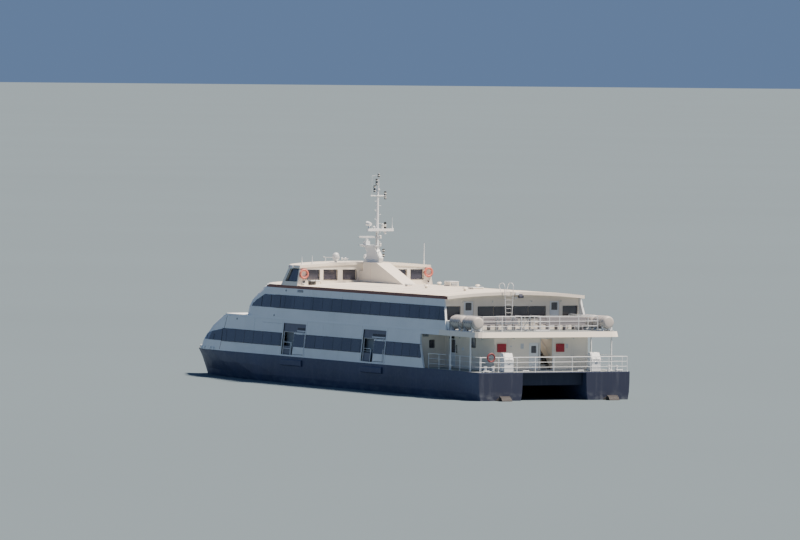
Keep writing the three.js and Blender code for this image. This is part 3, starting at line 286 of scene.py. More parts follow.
def rounded(u, v, radius, steps=3):
    """Points of a rounded rectangle, counter-clockwise."""
    corners = ((u[1] - radius, v[1] - radius), (u[0] + radius, v[1] - radius),
               (u[0] + radius, v[0] + radius), (u[1] - radius, v[0] + radius))
    points = []
    for quarter, (cu, cv) in enumerate(corners):
        for i in range(steps + 1):
            angle = (quarter + i / steps) * math.pi / 2
            points.append((cu + radius * math.cos(angle), cv + radius * math.sin(angle)))
    return points


def on_x(x):
    """Places (y, z) points on a wall that lies across the vessel."""
    return lambda u, v: (x, u, v)


def on_y(y):
    """Places (x, z) points on a wall that lies along the vessel."""
    return lambda u, v: (u, y, v)


def pane(bm, u, v, spot, depth, paint=0, radius=0.05):
    """A window pane with rounded corners."""
    sheet_of(bm, [spot(*point) for point in rounded(u, v, radius)], depth, paint)


def gasket(bm, u, v, spot, depth, width=0.035, paint=0, radius=0.05):
    """A rounded frame round an opening."""
    inner = [bm.verts.new(spot(*point)) for point in rounded(u, v, radius)]
    wide_u, wide_v = (u[0] - width, u[1] + width), (v[0] - width, v[1] + width)
    outer = [bm.verts.new(spot(*point)) for point in rounded(wide_u, wide_v, radius + width)]
    count = len(inner)
    faces = [bm.faces.new((outer[i], outer[(i + 1) % count], inner[(i + 1) % count], inner[i]))
             for i in range(count)]
    pushed = bmesh.ops.extrude_face_region(bm, geom=faces, use_keep_orig=True)
    moved = [v for v in pushed["geom"] if isinstance(v, bmesh.types.BMVert)]
    bmesh.ops.translate(bm, vec=Vector(depth), verts=moved)
    for face in {f for v in moved + inner + outer for f in v.link_faces}:
        face.material_index = paint


def bolt_ring(bm, centre, radius, axis, count, size, paint=0):
    """Hexagon heads on a circle round an axis."""
    axis = Vector(axis).normalized()
    across = axis.orthogonal().normalized()
    for i in range(count):
        angle = math.tau * i / count
        at = Vector(centre) + radius * (math.cos(angle) * across + math.sin(angle) * axis.cross(across))
        rod(bm, at, at + axis * size * 0.7, size, paint, sides=6)


def lamp(bm, foot, height, radius, body=0, lens=1):
    """A lamp with a lens between its base and its cap."""
    foot, wide = Vector(foot), radius * 1.06
    rod(bm, foot - UP * 0.004, foot + UP * height * 0.3, wide, body, sides=12)
    rod(bm, foot + UP * height * 0.3, foot + UP * height * 0.72, radius * 1.03, lens, sides=12)
    rod(bm, foot + UP * height * 0.72, foot + UP * (height + 0.004), wide, body, sides=12)
    rod(bm, foot + UP * height, foot + UP * (height + 0.03), wide, body, sides=12, end_radius=radius * 0.4)


def whip(bm, foot, height, radius=0.03, paint=0):
    """A whip aerial on its socket."""
    foot = Vector(foot)
    rod(bm, foot, foot + UP * 0.02, radius * 2.4, paint, sides=12)
    rod(bm, foot, foot + UP * height * 0.3, radius, paint, sides=10, end_radius=radius * 0.8)
    rod(bm, foot + UP * height * 0.3, foot + UP * height, radius * 0.5, paint, sides=8,
        end_radius=radius * 0.15)


def guard(bm, corners, foot, pitch, sizes, paint=0, wires=False):
    """Round posts on flanged feet with three bars or wires, along a line of corners."""
    for leg, (start, end) in enumerate(zip(corners, corners[1:])):
        a, b = Vector((*start, foot)), Vector((*end, foot))
        count = max(1, round((b - a).length / pitch))
        for i in range(1 if leg else 0, count + 1):
            at = a.lerp(b, i / count)
            rod(bm, at + UP * 0.001, at + UP * GUARD_HEIGHTS[0], sizes.post_radius, paint)
            rod(bm, at + UP * 0.001, at + UP * 0.015, sizes.post_radius * 2.3, paint, sides=10)
            bolt_ring(bm, at + UP * 0.015, sizes.post_radius * 1.7, UP, 4, 0.009, paint)
        for height in GUARD_HEIGHTS:
            thick = sizes.post_radius if height == GUARD_HEIGHTS[0] else sizes.bar_radius
            if wires:
                thick = sizes.wire_radius * (1.6 if height == GUARD_HEIGHTS[0] else 1)
            rod(bm, a + UP * height, b + UP * height, thick, paint)
            ball(bm, a + UP * height, thick, paint)
            ball(bm, b + UP * height, thick, paint)


def swept(bm, ring, stops, paint=0):
    """A closed outline carried along a line of offsets."""
    verts = [bm.verts.new(Vector(point) + Vector(stops[0])) for point in ring]
    faces = [bm.faces.new(verts)]
    everything = set(verts)
    for before, after in zip(stops, stops[1:]):
        pushed = bmesh.ops.extrude_face_region(bm, geom=faces)
        moved = [v for v in pushed["geom"] if isinstance(v, bmesh.types.BMVert)]
        faces = [f for f in pushed["geom"] if isinstance(f, bmesh.types.BMFace)]
        bmesh.ops.translate(bm, vec=Vector(after) - Vector(before), verts=moved)
        everything.update(moved)
    for face in {f for v in everything for f in v.link_faces}:
        face.material_index = paint


def skin(bm, sections, paint=0):
    """A closed skin through sections that have the same count of points."""
    rings = [[bm.verts.new(point) for point in section] for section in sections]
    count = len(rings[0])
    faces = [bm.faces.new((a[i], a[(i + 1) % count], b[(i + 1) % count], b[i]))
             for a, b in zip(rings, rings[1:]) for i in range(count)]
    for face in (*faces, bm.faces.new(rings[0]), bm.faces.new(rings[-1])):
        face.material_index = paint


def louvre(bm, x, y, z, out, count, body=0, shade_paint=1):
    """A louvred vent whose slats look along out, on a plate that closes it behind; the plate's dark paint is
    painted shade inside the vent.
    """
    box(bm, x, y, z, shade_paint)
    along = Vector(out)
    high = z[1] - z[0]
    for i in range(count):
        level = z[0] + high * (i + 0.5) / count
        centre = Vector(((x[0] + x[1]) / 2, (y[0] + y[1]) / 2, level)) + along * 0.012
        size = (x[1] - x[0] + abs(out[0]) * 0.02, y[1] - y[0] + abs(out[1]) * 0.02, 0.008)
        axis = "X" if out[1] else "Y"
        tilt = math.radians(35) * (-out[1] if out[1] else out[0])
        block(bm, centre, size, body, Matrix.Rotation(tilt, 4, axis))


# The curved fronts: height, where the curve starts, its nose
BOW_CURVE = (
    (2.0, 17.48, 23.3), (2.6, 17.29, 23.05), (3.1, 17.14, 22.35), (3.8, 16.92, 21.1), (4.4, 16.73, 19.4),
    (4.649, 16.66, 18.3),
)
HIGH_CURVE = (
    (4.8, 11.0, 15.3), (5.45, 10.8, 15.15), (5.95, 10.4, 14.7), (6.45, 9.9, 13.7), (6.8, 9.4, 12.9),
    (7.28, 8.9, 11.9),
)
WHEEL_CURVE = ((7.0, 7.75, 9.6), (9.0, 6.5, 8.3))
BOW_POWER, HIGH_POWER, WHEEL_POWER = 3.6, 4, 2.6  # how square each front is in plan
FRONTS = {
    "bow": (BOW_CURVE, BOW_POWER, side_at),
    "high": (HIGH_CURVE, HIGH_POWER, side_at),
    "wheel": (WHEEL_CURVE, WHEEL_POWER, wheel_side),
}
FRONT_STEPS = 8  # flats from a side to the nose, as in the frame


def curve_at(table, z):
    """Start and nose of a curved front at a height."""
    for (z0, start0, nose0), (z1, start1, nose1) in zip(table, table[1:]):
        if z <= z1 or z1 == table[-1][0]:
            share = (z - z0) / (z1 - z0)
            return start0 + (start1 - start0) * share, nose0 + (nose1 - nose0) * share


def front_ring(start, nose, power, half):
    """Port half of a curved front from where its curve starts to its nose, in the frame's steps."""
    angles = [i / FRONT_STEPS * math.pi / 2 for i in range(FRONT_STEPS + 1)]
    return [(start + (nose - start) * math.sin(a) ** (2 / power), half * max(0.0, math.cos(a)) ** (2 / power))
            for a in angles]


def ring_at(front, z):
    """Port half of the named front at a height."""
    table, power, half_at = FRONTS[front]
    return front_ring(*curve_at(table, z), power, half_at(z))


def front_x(front, y, z, proud=0.0):
    """How far forward the named front reaches at a breadth and height."""
    ring = ring_at(front, z)
    for (x0, y0), (x1, y1) in zip(ring, ring[1:]):
        if y1 <= abs(y) <= y0:
            return x0 + (x1 - x0) * (y0 - abs(y)) / (y0 - y1) + proud
    return ring[0][0] + proud


def front_y(front, x, z, proud=0.0):
    """Half-breadth of the named front at a place along the vessel."""
    ring = ring_at(front, z)
    for (x0, y0), (x1, y1) in zip(ring, ring[1:]):
        if x0 <= x <= x1:
            return y0 + (y1 - y0) * (x - x0) / (x1 - x0) + proud
    return (ring[0][1] if x < ring[0][0] else 0.0) + proud


# Materials


class Shader:
    """A small hand for wiring one procedural material."""

    def __init__(self, name):
        self.material = bpy.data.materials.new(name)
        self.material.use_nodes = True
        self.tree = self.material.node_tree
        self.surface = self.tree.nodes["Principled BSDF"]
        self.where = self.tree.nodes.new("ShaderNodeTexCoord").outputs["Object"]
        split = self.tree.nodes.new("ShaderNodeSeparateXYZ")
        self.tree.links.new(self.where, split.inputs[0])
        self.x, self.y, self.z = split.outputs
        facing = self.tree.nodes.new("ShaderNodeNewGeometry")
        turned_to = self.tree.nodes.new("ShaderNodeSeparateXYZ")
        self.tree.links.new(facing.outputs["True Normal"], turned_to.inputs[0])
        self.nx, self.ny, self.nz = turned_to.outputs

    def feed(self, socket, value):
        """Links a socket or sets a plain value."""
        if isinstance(value, bpy.types.NodeSocket):
            self.tree.links.new(value, socket)
        else:
            socket.default_value = value

    def maths(self, operation, a, b=0.0):
        """The result of one sum."""
        node = self.tree.nodes.new("ShaderNodeMath")
        node.operation = operation
        self.feed(node.inputs[0], a)
        self.feed(node.inputs[1], b)
        return node.outputs[0]

    def noise(self, scale, stretch=(1, 1, 1), detail=4, roughness=0.55):
        """Noise on the object's own coordinates."""
        mapping = self.tree.nodes.new("ShaderNodeMapping")
        mapping.inputs["Scale"].default_value = stretch
        self.tree.links.new(self.where, mapping.inputs["Vector"])
        node = self.tree.nodes.new("ShaderNodeTexNoise")
        node.inputs["Scale"].default_value = scale
        node.inputs["Detail"].default_value = detail
        node.inputs["Roughness"].default_value = roughness
        self.tree.links.new(mapping.outputs[0], node.inputs["Vector"])
        return node.outputs["Fac"]

    def between(self, value, low, high, to_low=0.0, to_high=1.0):
        """A value moved from one range to another."""
        node = self.tree.nodes.new("ShaderNodeMapRange")
        self.feed(node.inputs["Value"], value)
        for key, number in (("From Min", low), ("From Max", high), ("To Min", to_low), ("To Max", to_high)):
            node.inputs[key].default_value = number
        return node.outputs["Result"]

    def mix(self, share, a, b):
        """A colour between two, by a share."""
        node = self.tree.nodes.new("ShaderNodeMix")
        node.data_type = "RGBA"
        self.feed(node.inputs["Factor"], share)
        colours = [s for s in node.inputs if s.type == "RGBA"]
        self.feed(colours[0], a)
        self.feed(colours[1], b)
        return next(s for s in node.outputs if s.type == "RGBA")

    def bump(self, height, strength, distance=0.01):
        """Adds a relief on top of those given before."""
        node = self.tree.nodes.new("ShaderNodeBump")
        node.inputs["Strength"].default_value = strength
        node.inputs["Distance"].default_value = distance
        self.feed(node.inputs["Height"], height)
        before = self.surface.inputs["Normal"].links
        if before:
            self.tree.links.new(before[0].from_socket, node.inputs["Normal"])
        self.tree.links.new(node.outputs[0], self.surface.inputs["Normal"])

    def set(self, **values):
        """Sets the surface's own sockets by their names, with _ for a space."""
        for key, value in values.items():
            self.feed(self.surface.inputs[key.replace("_", " ")], value)


def shade(colour, factor):
    """A colour made lighter or darker."""
    return (*(min(1.0, c * factor) for c in colour[:3]), 1.0)


def rgba(colour):
    """A colour with its alpha."""
    return (*colour[:3], 1.0)


def painted(name, colour, roughness=0.42, stain=(0.30, 0.25, 0.19), stain_share=0.35, ripple=0.25):
    """Marine paint: cloudy tone, rain streaks, faint ripples of the plating."""
    s = Shader(name)
    cloudy = s.noise(0.55, detail=5)
    streaks = s.noise(2.2, stretch=(3.2, 3.2, 0.16), detail=6, roughness=0.65)
    blotch = s.noise(0.8, detail=3)
    base = s.mix(s.between(cloudy, 0.35, 0.7), rgba(colour), shade(colour, 0.9))
    share = s.maths("MULTIPLY", s.between(streaks, 0.56, 0.82, 0.0, stain_share), s.between(blotch, 0.4, 0.65))
    base = s.mix(share, base, rgba(stain))
    s.set(Base_Color=base, Roughness=s.between(s.noise(14), 0.3, 0.7, roughness - 0.06, roughness + 0.1))
    s.bump(s.noise(1.1, stretch=(1.6, 1, 1), detail=1), ripple, 0.03)
    s.bump(s.noise(90, detail=2), 0.04, 0.002)
    return s


def hull_finish(name, colours):
    """Navy topsides with a salt-scuffed belt, painted shade on transoms, painted light on fenders, matt coating
    below z = 0.
    """
    s = Shader(name)
    navy = rgba(colours.hull)
    cloudy = s.noise(0.5, detail=5)
    base = s.mix(s.between(cloudy, 0.3, 0.7), shade(navy, 1.12), shade(navy, 0.82))
    # aft-facing faces are darkened: painted shade on the transoms, which the key light strikes
    aft = s.maths("LESS_THAN", s.nx, -0.7)
    base = s.mix(aft, base, shade(navy, 0.42))
    streaks = s.noise(2.4, stretch=(2.6, 2.6, 0.2), detail=6, roughness=0.7)
    base = s.mix(s.between(streaks, 0.55, 0.85, 0.0, 0.3), base, (0.16, 0.18, 0.22, 1))
    scuffs = s.between(s.noise(3.5, stretch=(0.5, 1, 1.6)), 0.45, 0.75)
    belt = s.maths("MULTIPLY", s.between(s.z, 0.34, 0.02), scuffs)
    base = s.mix(s.maths("MULTIPLY", belt, 0.35), base, (0.30, 0.33, 0.36, 1))
    under = s.maths("LESS_THAN", s.z, 0.0)
    base = s.mix(under, base, (0.030, 0.034, 0.042, 1))
    # the fenders are made a little lighter than the hull: painted light against the shade that falls on them
    fender_painted_light = s.maths("GREATER_THAN", s.maths("ABSOLUTE", s.y), (HALF_BEAM + 0.012) * SCALE)
    base = s.mix(fender_painted_light, base, shade(navy, 1.05))
    rough = s.between(s.noise(9), 0.3, 0.7, 0.48, 0.6)
    rough = s.maths("ADD", rough, s.maths("MULTIPLY", under, 0.3))
    s.set(Base_Color=base, Roughness=rough, Specular_IOR_Level=0.45)
    s.bump(s.noise(0.9, stretch=(1.8, 1, 1), detail=1), 0.3, 0.04)
    s.bump(s.noise(60, detail=2), 0.05, 0.002)
    return s


def deck_finish(name, colours, rise):
    """Grit-rolled paint on top faces, white on what stands above the deck, another colour at its edge."""
    s = Shader(name)
    grey = rgba(colours.deck)
    worn = s.noise(1.3, detail=6)
    base = s.mix(s.between(worn, 0.35, 0.68), shade(grey, 1.15), shade(grey, 0.78))
    base = s.mix(s.between(s.noise(5, detail=6), 0.62, 0.8, 0.0, 0.3), base, (0.42, 0.40, 0.36, 1))
    top = s.maths("GREATER_THAN", s.nz, 0.6)
    edge = rgba(colours.hull) if rise < UPPER_Z else rgba(colours.cream)
    base = s.mix(top, edge, base)
    above = s.maths("GREATER_THAN", s.z, (rise + 0.035) * SCALE)
    base = s.mix(above, base, shade(colours.white, 0.97))
    if rise >= UPPER_Z:
        forward = s.maths("GREATER_THAN", s.x, (AFT_WALL_X + 0.1) * SCALE)
        base = s.mix(forward, base, rgba(colours.white))
    s.set(Base_Color=base, Roughness=s.between(s.noise(6), 0.3, 0.7, 0.55, 0.8))
    s.bump(s.noise(220, detail=2), 0.35, 0.002)
    return s


def roof_finish(name, colours):
    """Warm white roof with dust, and the brown-red line along its side edges."""
    s = Shader(name)
    cream = rgba(colours.cream)
    base = s.mix(s.between(s.noise(0.6, detail=5), 0.35, 0.7), cream, shade(cream, 0.86))
    dust = s.between(s.noise(2.0, stretch=(0.5, 2.5, 1), detail=6), 0.55, 0.85, 0.0, 0.3)
    base = s.mix(dust, base, (0.42, 0.37, 0.3, 1))
    side_edge = s.maths("MULTIPLY", s.maths("GREATER_THAN", s.maths("ABSOLUTE", s.ny), 0.75),
                        s.maths("GREATER_THAN", s.maths("ABSOLUTE", s.y), 5.3 * SCALE))
    line = s.maths("MULTIPLY", side_edge, s.maths("LESS_THAN", s.z, (ROOF_EDGE_Z - 0.01) * SCALE))
    base = s.mix(line, base, rgba(colours.roof_line))
    s.set(Base_Color=base, Roughness=s.between(s.noise(8), 0.3, 0.7, 0.45, 0.62))
    s.bump(s.noise(0.8, detail=1), 0.25, 0.03)
    return s


def glass_finish(name, colour, pane=0.76):
    """Dark bonded glazing whose panes differ a little."""
    s = Shader(name)
    number = s.maths("FLOOR", s.maths("DIVIDE", s.x, pane))
    white_noise = s.tree.nodes.new("ShaderNodeTexWhiteNoise")
    white_noise.noise_dimensions = "1D"
    s.feed(white_noise.inputs["W"], number)
    base = s.mix(white_noise.outputs["Value"], rgba(colour), shade(colour, 1.7))
    base = s.mix(s.between(s.noise(1.2, detail=5), 0.5, 0.8, 0.0, 0.25), base, (0.12, 0.13, 0.13, 1))
    s.set(Base_Color=base, Roughness=s.between(s.noise(5, detail=3), 0.3, 0.7, 0.06, 0.16))
    s.surface.inputs["Coat Weight"].default_value = 0.6
    s.surface.inputs["Coat Roughness"].default_value = 0.05
    s.bump(s.noise(1.4, detail=1), 0.12, 0.01)
    return s


def metal_finish(name, colour, metallic=1.0, roughness=0.35, grain=(1, 1, 40)):
    """Worked metal with a drawn grain and a little oxide."""
    s = Shader(name)
    grained = s.noise(6, stretch=grain, detail=4)
    base = s.mix(s.between(grained, 0.3, 0.7), shade(colour, 1.05), shade(colour, 0.8))
    base = s.mix(s.between(s.noise(4, detail=5), 0.6, 0.8, 0.0, 0.35), base, shade(colour, 0.45))
    s.set(Base_Color=base, Roughness=s.between(grained, 0.3, 0.7, roughness - 0.08, roughness + 0.14))
    s.surface.inputs["Metallic"].default_value = metallic
    s.bump(grained, 0.1, 0.002)
    return s


def moulded(name, colour, roughness=0.4, grime=0.3, fine=60, coat=0.0):
    """Moulded plastic, glass fibre or rubber with a fine skin and dust in patches."""
    s = Shader(name)
    base = s.mix(s.between(s.noise(2.5, detail=5), 0.35, 0.7), rgba(colour), shade(colour, 0.82))
    base = s.mix(s.between(s.noise(7, detail=6), 0.55, 0.8, 0.0, grime), base, (0.2, 0.18, 0.15, 1))
    s.set(Base_Color=base, Roughness=s.between(s.noise(12), 0.3, 0.7, roughness - 0.06, roughness + 0.12))
    s.surface.inputs["Coat Weight"].default_value = coat
    s.bump(s.noise(fine, detail=2), 0.1, 0.002)
    return s


def raft_finish(name, colour):
    """Weathered glass fibre: grey rain marks run down the canisters."""
    s = Shader(name)
    base = s.mix(s.between(s.noise(1.8, detail=5), 0.35, 0.65), rgba(colour), shade(colour, 0.84))
    runs = s.noise(3.0, stretch=(4, 4, 0.5), detail=6, roughness=0.7)
    base = s.mix(s.between(runs, 0.48, 0.72, 0.0, 0.5), base, (0.36, 0.37, 0.34, 1))
    s.set(Base_Color=base, Roughness=s.between(s.noise(9), 0.3, 0.7, 0.42, 0.6))
    s.bump(s.noise(40, detail=3), 0.12, 0.003)
    return s


def lamp_glass(name, colour):
    """A clear or coloured lamp lens with ribs."""
    s = Shader(name)
    ribs = s.noise(30, stretch=(0.2, 0.2, 6), detail=1)
    s.set(Base_Color=s.mix(s.between(ribs, 0.3, 0.7), rgba(colour), shade(colour, 0.7)),
          Roughness=s.between(s.noise(20), 0.3, 0.7, 0.08, 0.2))
    s.surface.inputs["Coat Weight"].default_value = 0.8
    s.bump(ribs, 0.3, 0.003)
    return s


def tread_finish(name, colour):
    """Aluminium plate with a raised tread."""
    s = Shader(name)
    mapping = s.tree.nodes.new("ShaderNodeMapping")
    mapping.inputs["Rotation"].default_value = (0, 0, math.radians(45))
    s.tree.links.new(s.where, mapping.inputs["Vector"])
    bars = s.tree.nodes.new("ShaderNodeTexBrick")
    bars.inputs["Scale"].default_value = 26
    bars.inputs["Mortar Size"].default_value = 0.3
    s.tree.links.new(mapping.outputs[0], bars.inputs["Vector"])
    base = s.mix(s.between(s.noise(5, detail=5), 0.4, 0.7), rgba(colour), shade(colour, 0.6))
    s.set(Base_Color=base, Roughness=s.between(s.noise(10), 0.3, 0.7, 0.32, 0.5))
    s.surface.inputs["Metallic"].default_value = 0.9
    s.bump(bars.outputs["Fac"], 0.4, 0.003)
    return s


_made = {}


def material(name):
    """The finish of that name, made when it is first asked for."""
    if name not in _made:
        colours = bpy.context.scene.ferry_colours
        makers = {
            "hull_navy": lambda n: hull_finish(n, colours),
            "side_white": lambda n: painted(n, colours.white),
            "warm_white": lambda n: painted(n, colours.cream, 0.48),
            "fitting_white": lambda n: painted(n, colours.white, 0.4, stain_share=0.2, ripple=0.05),
            "main_deck_grit": lambda n: deck_finish(n, colours, DECK_Z),
            "upper_deck_grit": lambda n: deck_finish(n, colours, UPPER_Z),
            "roof_white": lambda n: roof_finish(n, colours),
            "band_glass": lambda n: glass_finish(n, colours.glass),
            "window_glass": lambda n: glass_finish(n, colours.glass, pane=3.1),
            "casing_white": lambda n: painted(
                n, colours.cream, 0.5, stain=(0.42, 0.20, 0.13), stain_share=0.85),
            "rail_white": lambda n: painted(n, colours.white, 0.35, stain_share=0.5, ripple=0.0),
            "bare_aluminium": lambda n: metal_finish(n, (0.62, 0.63, 0.64)),
            "tread_dark": lambda n: tread_finish(n, (0.16, 0.16, 0.17)),
            "cast_steel": lambda n: metal_finish(
                n, (0.03, 0.03, 0.034), metallic=0.2, roughness=0.7, grain=(6, 6, 6)),
            "raft_white": lambda n: raft_finish(n, colours.raft),
            "housing_white": lambda n: moulded(n, colours.white, 0.35, 0.15, coat=0.3),
            "black_plastic": lambda n: moulded(n, (0.02, 0.02, 0.022), 0.42, 0.2),
            "black_rubber": lambda n: moulded(n, (0.016, 0.016, 0.017), 0.7, 0.35, fine=120),
            "panel_grey": lambda n: painted(n, colours.header, 0.5, stain_share=0.2, ripple=0.1),
            "bench_grey": lambda n: painted(n, (0.27, 0.265, 0.29), 0.5, stain_share=0.3, ripple=0.05),
            # dark grey of the doorway screens: painted shade of the lobbies inside
            "doorway_shade_grey": lambda n: painted(n, (0.16, 0.19, 0.23), 0.6, stain_share=0.1, ripple=0.05),
            # near-black: painted shade behind louvres and in the trunk's gap; also the dark body of the buoy
            # light and the dark centres of the round side fittings
            "dark_and_painted_shade": lambda n: moulded(n, (0.035, 0.04, 0.05), 0.6, 0.2),
            "cabinet_red": lambda n: painted(n, colours.cabinet, 0.38, stain_share=0.15, ripple=0.05),
            "buoy_orange": lambda n: moulded(n, colours.lifebuoy, 0.5, 0.2),
            "buoy_maroon": lambda n: moulded(n, (0.20, 0.035, 0.04), 0.55, 0.2),
            "line_brown": lambda n: painted(n, colours.roof_line, 0.45, ripple=0.05),
            "seat_blue": lambda n: moulded(n, (0.05, 0.09, 0.2), 0.75, 0.15, fine=150),
            "carpet_grey": lambda n: moulded(n, (0.12, 0.12, 0.13), 0.9, 0.2, fine=200),
            "lens_clear": lambda n: lamp_glass(n, (0.75, 0.76, 0.72)),
            "lens_red": lambda n: lamp_glass(n, (0.5, 0.02, 0.02)),
            "lens_green": lambda n: lamp_glass(n, (0.02, 0.35, 0.12)),
            "anode_zinc": lambda n: metal_finish(n, (0.5, 0.5, 0.48), roughness=0.6, grain=(9, 9, 9)),
        }
        _made[name] = makers[name](name).material
    return _made[name]


# Which finish each node of the frame takes; a name that ends in _ is for every node that starts so
NODE_FINISHES = {
    "hull_": "hull_navy",
    "bridge_deck": "hull_navy",
    "main_deck": "main_deck_grit",
    "main_deck_aft_rail": "rail_white",
    "side_wall_": "side_white",
    "bow_fairing": "side_white",
    "upper_front": "side_white",
    "window_band_": "band_glass",
    "wheelhouse_glass": "window_glass",
    "side_door_": "side_white",
    "aft_house_": "warm_white",
    "aft_bulkhead": "warm_white",
    "aft_door": "fitting_white",
    "walkway_door_": "fitting_white",
    "upper_door_": "fitting_white",
    "stair": "tread_dark",
    "upper_deck": "upper_deck_grit",
    "upper_deck_rail": "rail_white",
    "roof": "roof_white",
    "roof_ladder": "rail_white",
    "upper_aft_wall": "warm_white",
    "wheelhouse": "warm_white",
    "wheelhouse_roof": "warm_white",
    "mast_casing": "casing_white",
    "mast": "fitting_white",
    "radar_scanner": "housing_white",
    "satellite_dome": "housing_white",
    "jet_housing_": "cast_steel",
    "life_rafts_": "raft_white",
    "deck_benches_": "bench_grey",
    "gangway": "bare_aluminium",
    "walkway_rail_": "rail_white",
    "jet_nozzle_": "cast_steel",
    "jet_bucket_": "cast_steel",
}


def finish_of(node):
    """The finish of a frame node, by its own name or by the start of its name."""
    if node in NODE_FINISHES:
        return NODE_FINISHES[node]
    return next(
        finish for start, finish in NODE_FINISHES.items() if start.endswith("_") and node.startswith(start))


# Properties


def colour_property(name, description, default):
    """A colour that the user may change."""
    return bpy.props.FloatVectorProperty(
        name=name, description=description, default=default, size=3, min=0, max=1, subtype="COLOR")


class FerryColours(bpy.types.PropertyGroup):
    """Paint and glass colours."""

    hull: colour_property("Hull", "Navy of the topsides", (0.042, 0.058, 0.125))
    # the white is tinted a little blue: the cool tone of shade painted into the colour
    white: colour_property("White", "White of the sides", (0.73, 0.77, 0.80))
    cream: colour_property("Warm white", "Warm white of the roof and the aft walls", (0.82, 0.77, 0.68))
    deck: colour_property("Deck", "Non-slip deck paint", (0.22, 0.25, 0.26))
    glass: colour_property("Glass", "Tinted glazing", (0.034, 0.034, 0.050))
    header: colour_property("Door header", "Grey panel above the side doors", (0.13, 0.14, 0.19))
    roof_line: colour_property("Roof line", "Line along the roof's side edge", (0.19, 0.065, 0.05))
    cabinet: colour_property("Cabinets", "Fire cabinets on the aft bulkhead", (0.36, 0.02, 0.035))
    lifebuoy: colour_property("Lifebuoys", "Lifebuoy covers", (0.60, 0.16, 0.12))
    raft: colour_property("Life rafts", "Raft canisters", (0.48, 0.455, 0.435))


class FerrySizes(bpy.types.PropertyGroup):
    """Sizes of the fine pieces, in metres of the full-size vessel."""

    post_radius: bpy.props.FloatProperty(
        name="Rail post", description="Radius of the guard rail posts", default=0.026, unit="LENGTH")
    bar_radius: bpy.props.FloatProperty(
        name="Rail bar", description="Radius of the guard rail bars", default=0.017, unit="LENGTH")
    wire_radius: bpy.props.FloatProperty(
        name="Rail wire", description="Radius of the wires along the walkways", default=0.011, unit="LENGTH")
    seat_pitch: bpy.props.FloatProperty(
        name="Seat pitch", description="Distance between seat rows", default=1.05, unit="LENGTH")
    roof_seam_pitch: bpy.props.FloatProperty(
        name="Roof seams", description="Distance between the roof's cover strips", default=2.45, unit="LENGTH")


class FerryStage(bpy.types.PropertyGroup):
    """Light and floor."""

    sun_strength: bpy.props.FloatProperty(
        name="Key light", description="Strength of the warm light from aft", default=11.5, min=0)
    sky_strength: bpy.props.FloatProperty(
        name="Fill light", description="Strength of the cool light all round", default=0.36, min=0)
    floor: colour_property("Floor", "Plain pale floor at the waterline", (0.105, 0.148, 0.175))


class PieceOperator:
    """Shared options of the piece operators."""

    bl_options = {"REGISTER", "UNDO"}


class FERRY_OT_finishes(PieceOperator, bpy.types.Operator):
    """Gives every node of the frame its procedural finish."""

    bl_idname = "ferry.finishes"
    bl_label = "Finish the frame"

    def execute(self, context):
        for name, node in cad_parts.items():
            node.data.materials.clear()
            node.data.materials.append(material(finish_of(name)))
        return {"FINISHED"}


class FERRY_OT_hulls(PieceOperator, bpy.types.Operator):
    """Bolts, anodes and deck-edge fittings of the hulls."""

    bl_idname = "ferry.hulls"
    bl_label = "Hull fittings"

    def execute(self, context):
        bm = bmesh.new()
        jet = Vector((TRANSOM_X - 0.1, HULL_Y, -0.25))
        bolt_ring(bm, jet, 0.43, (-1, 0, 0), 16, 0.03)
        for y in (HULL_Y - 1.1, HULL_Y + 1.1):
            box(bm, (TRANSOM_X - 0.05, TRANSOM_X - 0.001), (y - 0.2, y + 0.2), (-0.42, -0.3), 1)
            for dy in (-0.15, 0.15):
                rod(bm, (TRANSOM_X - 0.05, y + dy, -0.36), (TRANSOM_X - 0.065, y + dy, -0.36), 0.022, sides=6)
        both_sides(bm)
        finish_piece(bm, "transom_fittings", ("cast_steel", "anode_zinc"))
        bm = bmesh.new()
        for x, y in ((22.55, 5.08), (22.95, 4.9), (23.35, 4.73), (23.75, 4.5)):
            rod(bm, (x, y, DECK_Z + 0.001), (x, y, DECK_Z + 0.2), 0.045, sides=12)
            rod(bm, (x, y, DECK_Z + 0.17), (x, y, DECK_Z + 0.21), 0.065, sides=12)
        pipe(bm, [(23.6, 4.05, DECK_Z + 0.001), (23.6, 4.05, DECK_Z + 0.16), (23.6, 4.45, DECK_Z + 0.16),
                  (23.6, 4.45, DECK_Z + 0.001)], 0.03)
        for x in (22.3, 20.9, 20.1, 18.95, 18.4):
            y = front_y("bow", min(x, 22.2), DECK_Z + 0.06) + 0.05
            box(bm, (x - 0.06, x + 0.06), (y - 0.04, y + 0.04), (DECK_Z + 0.02, DECK_Z + 0.22))
        both_sides(bm)
        finish_piece(bm, "bow_deck_fittings", ("fitting_white",))
        return {"FINISHED"}


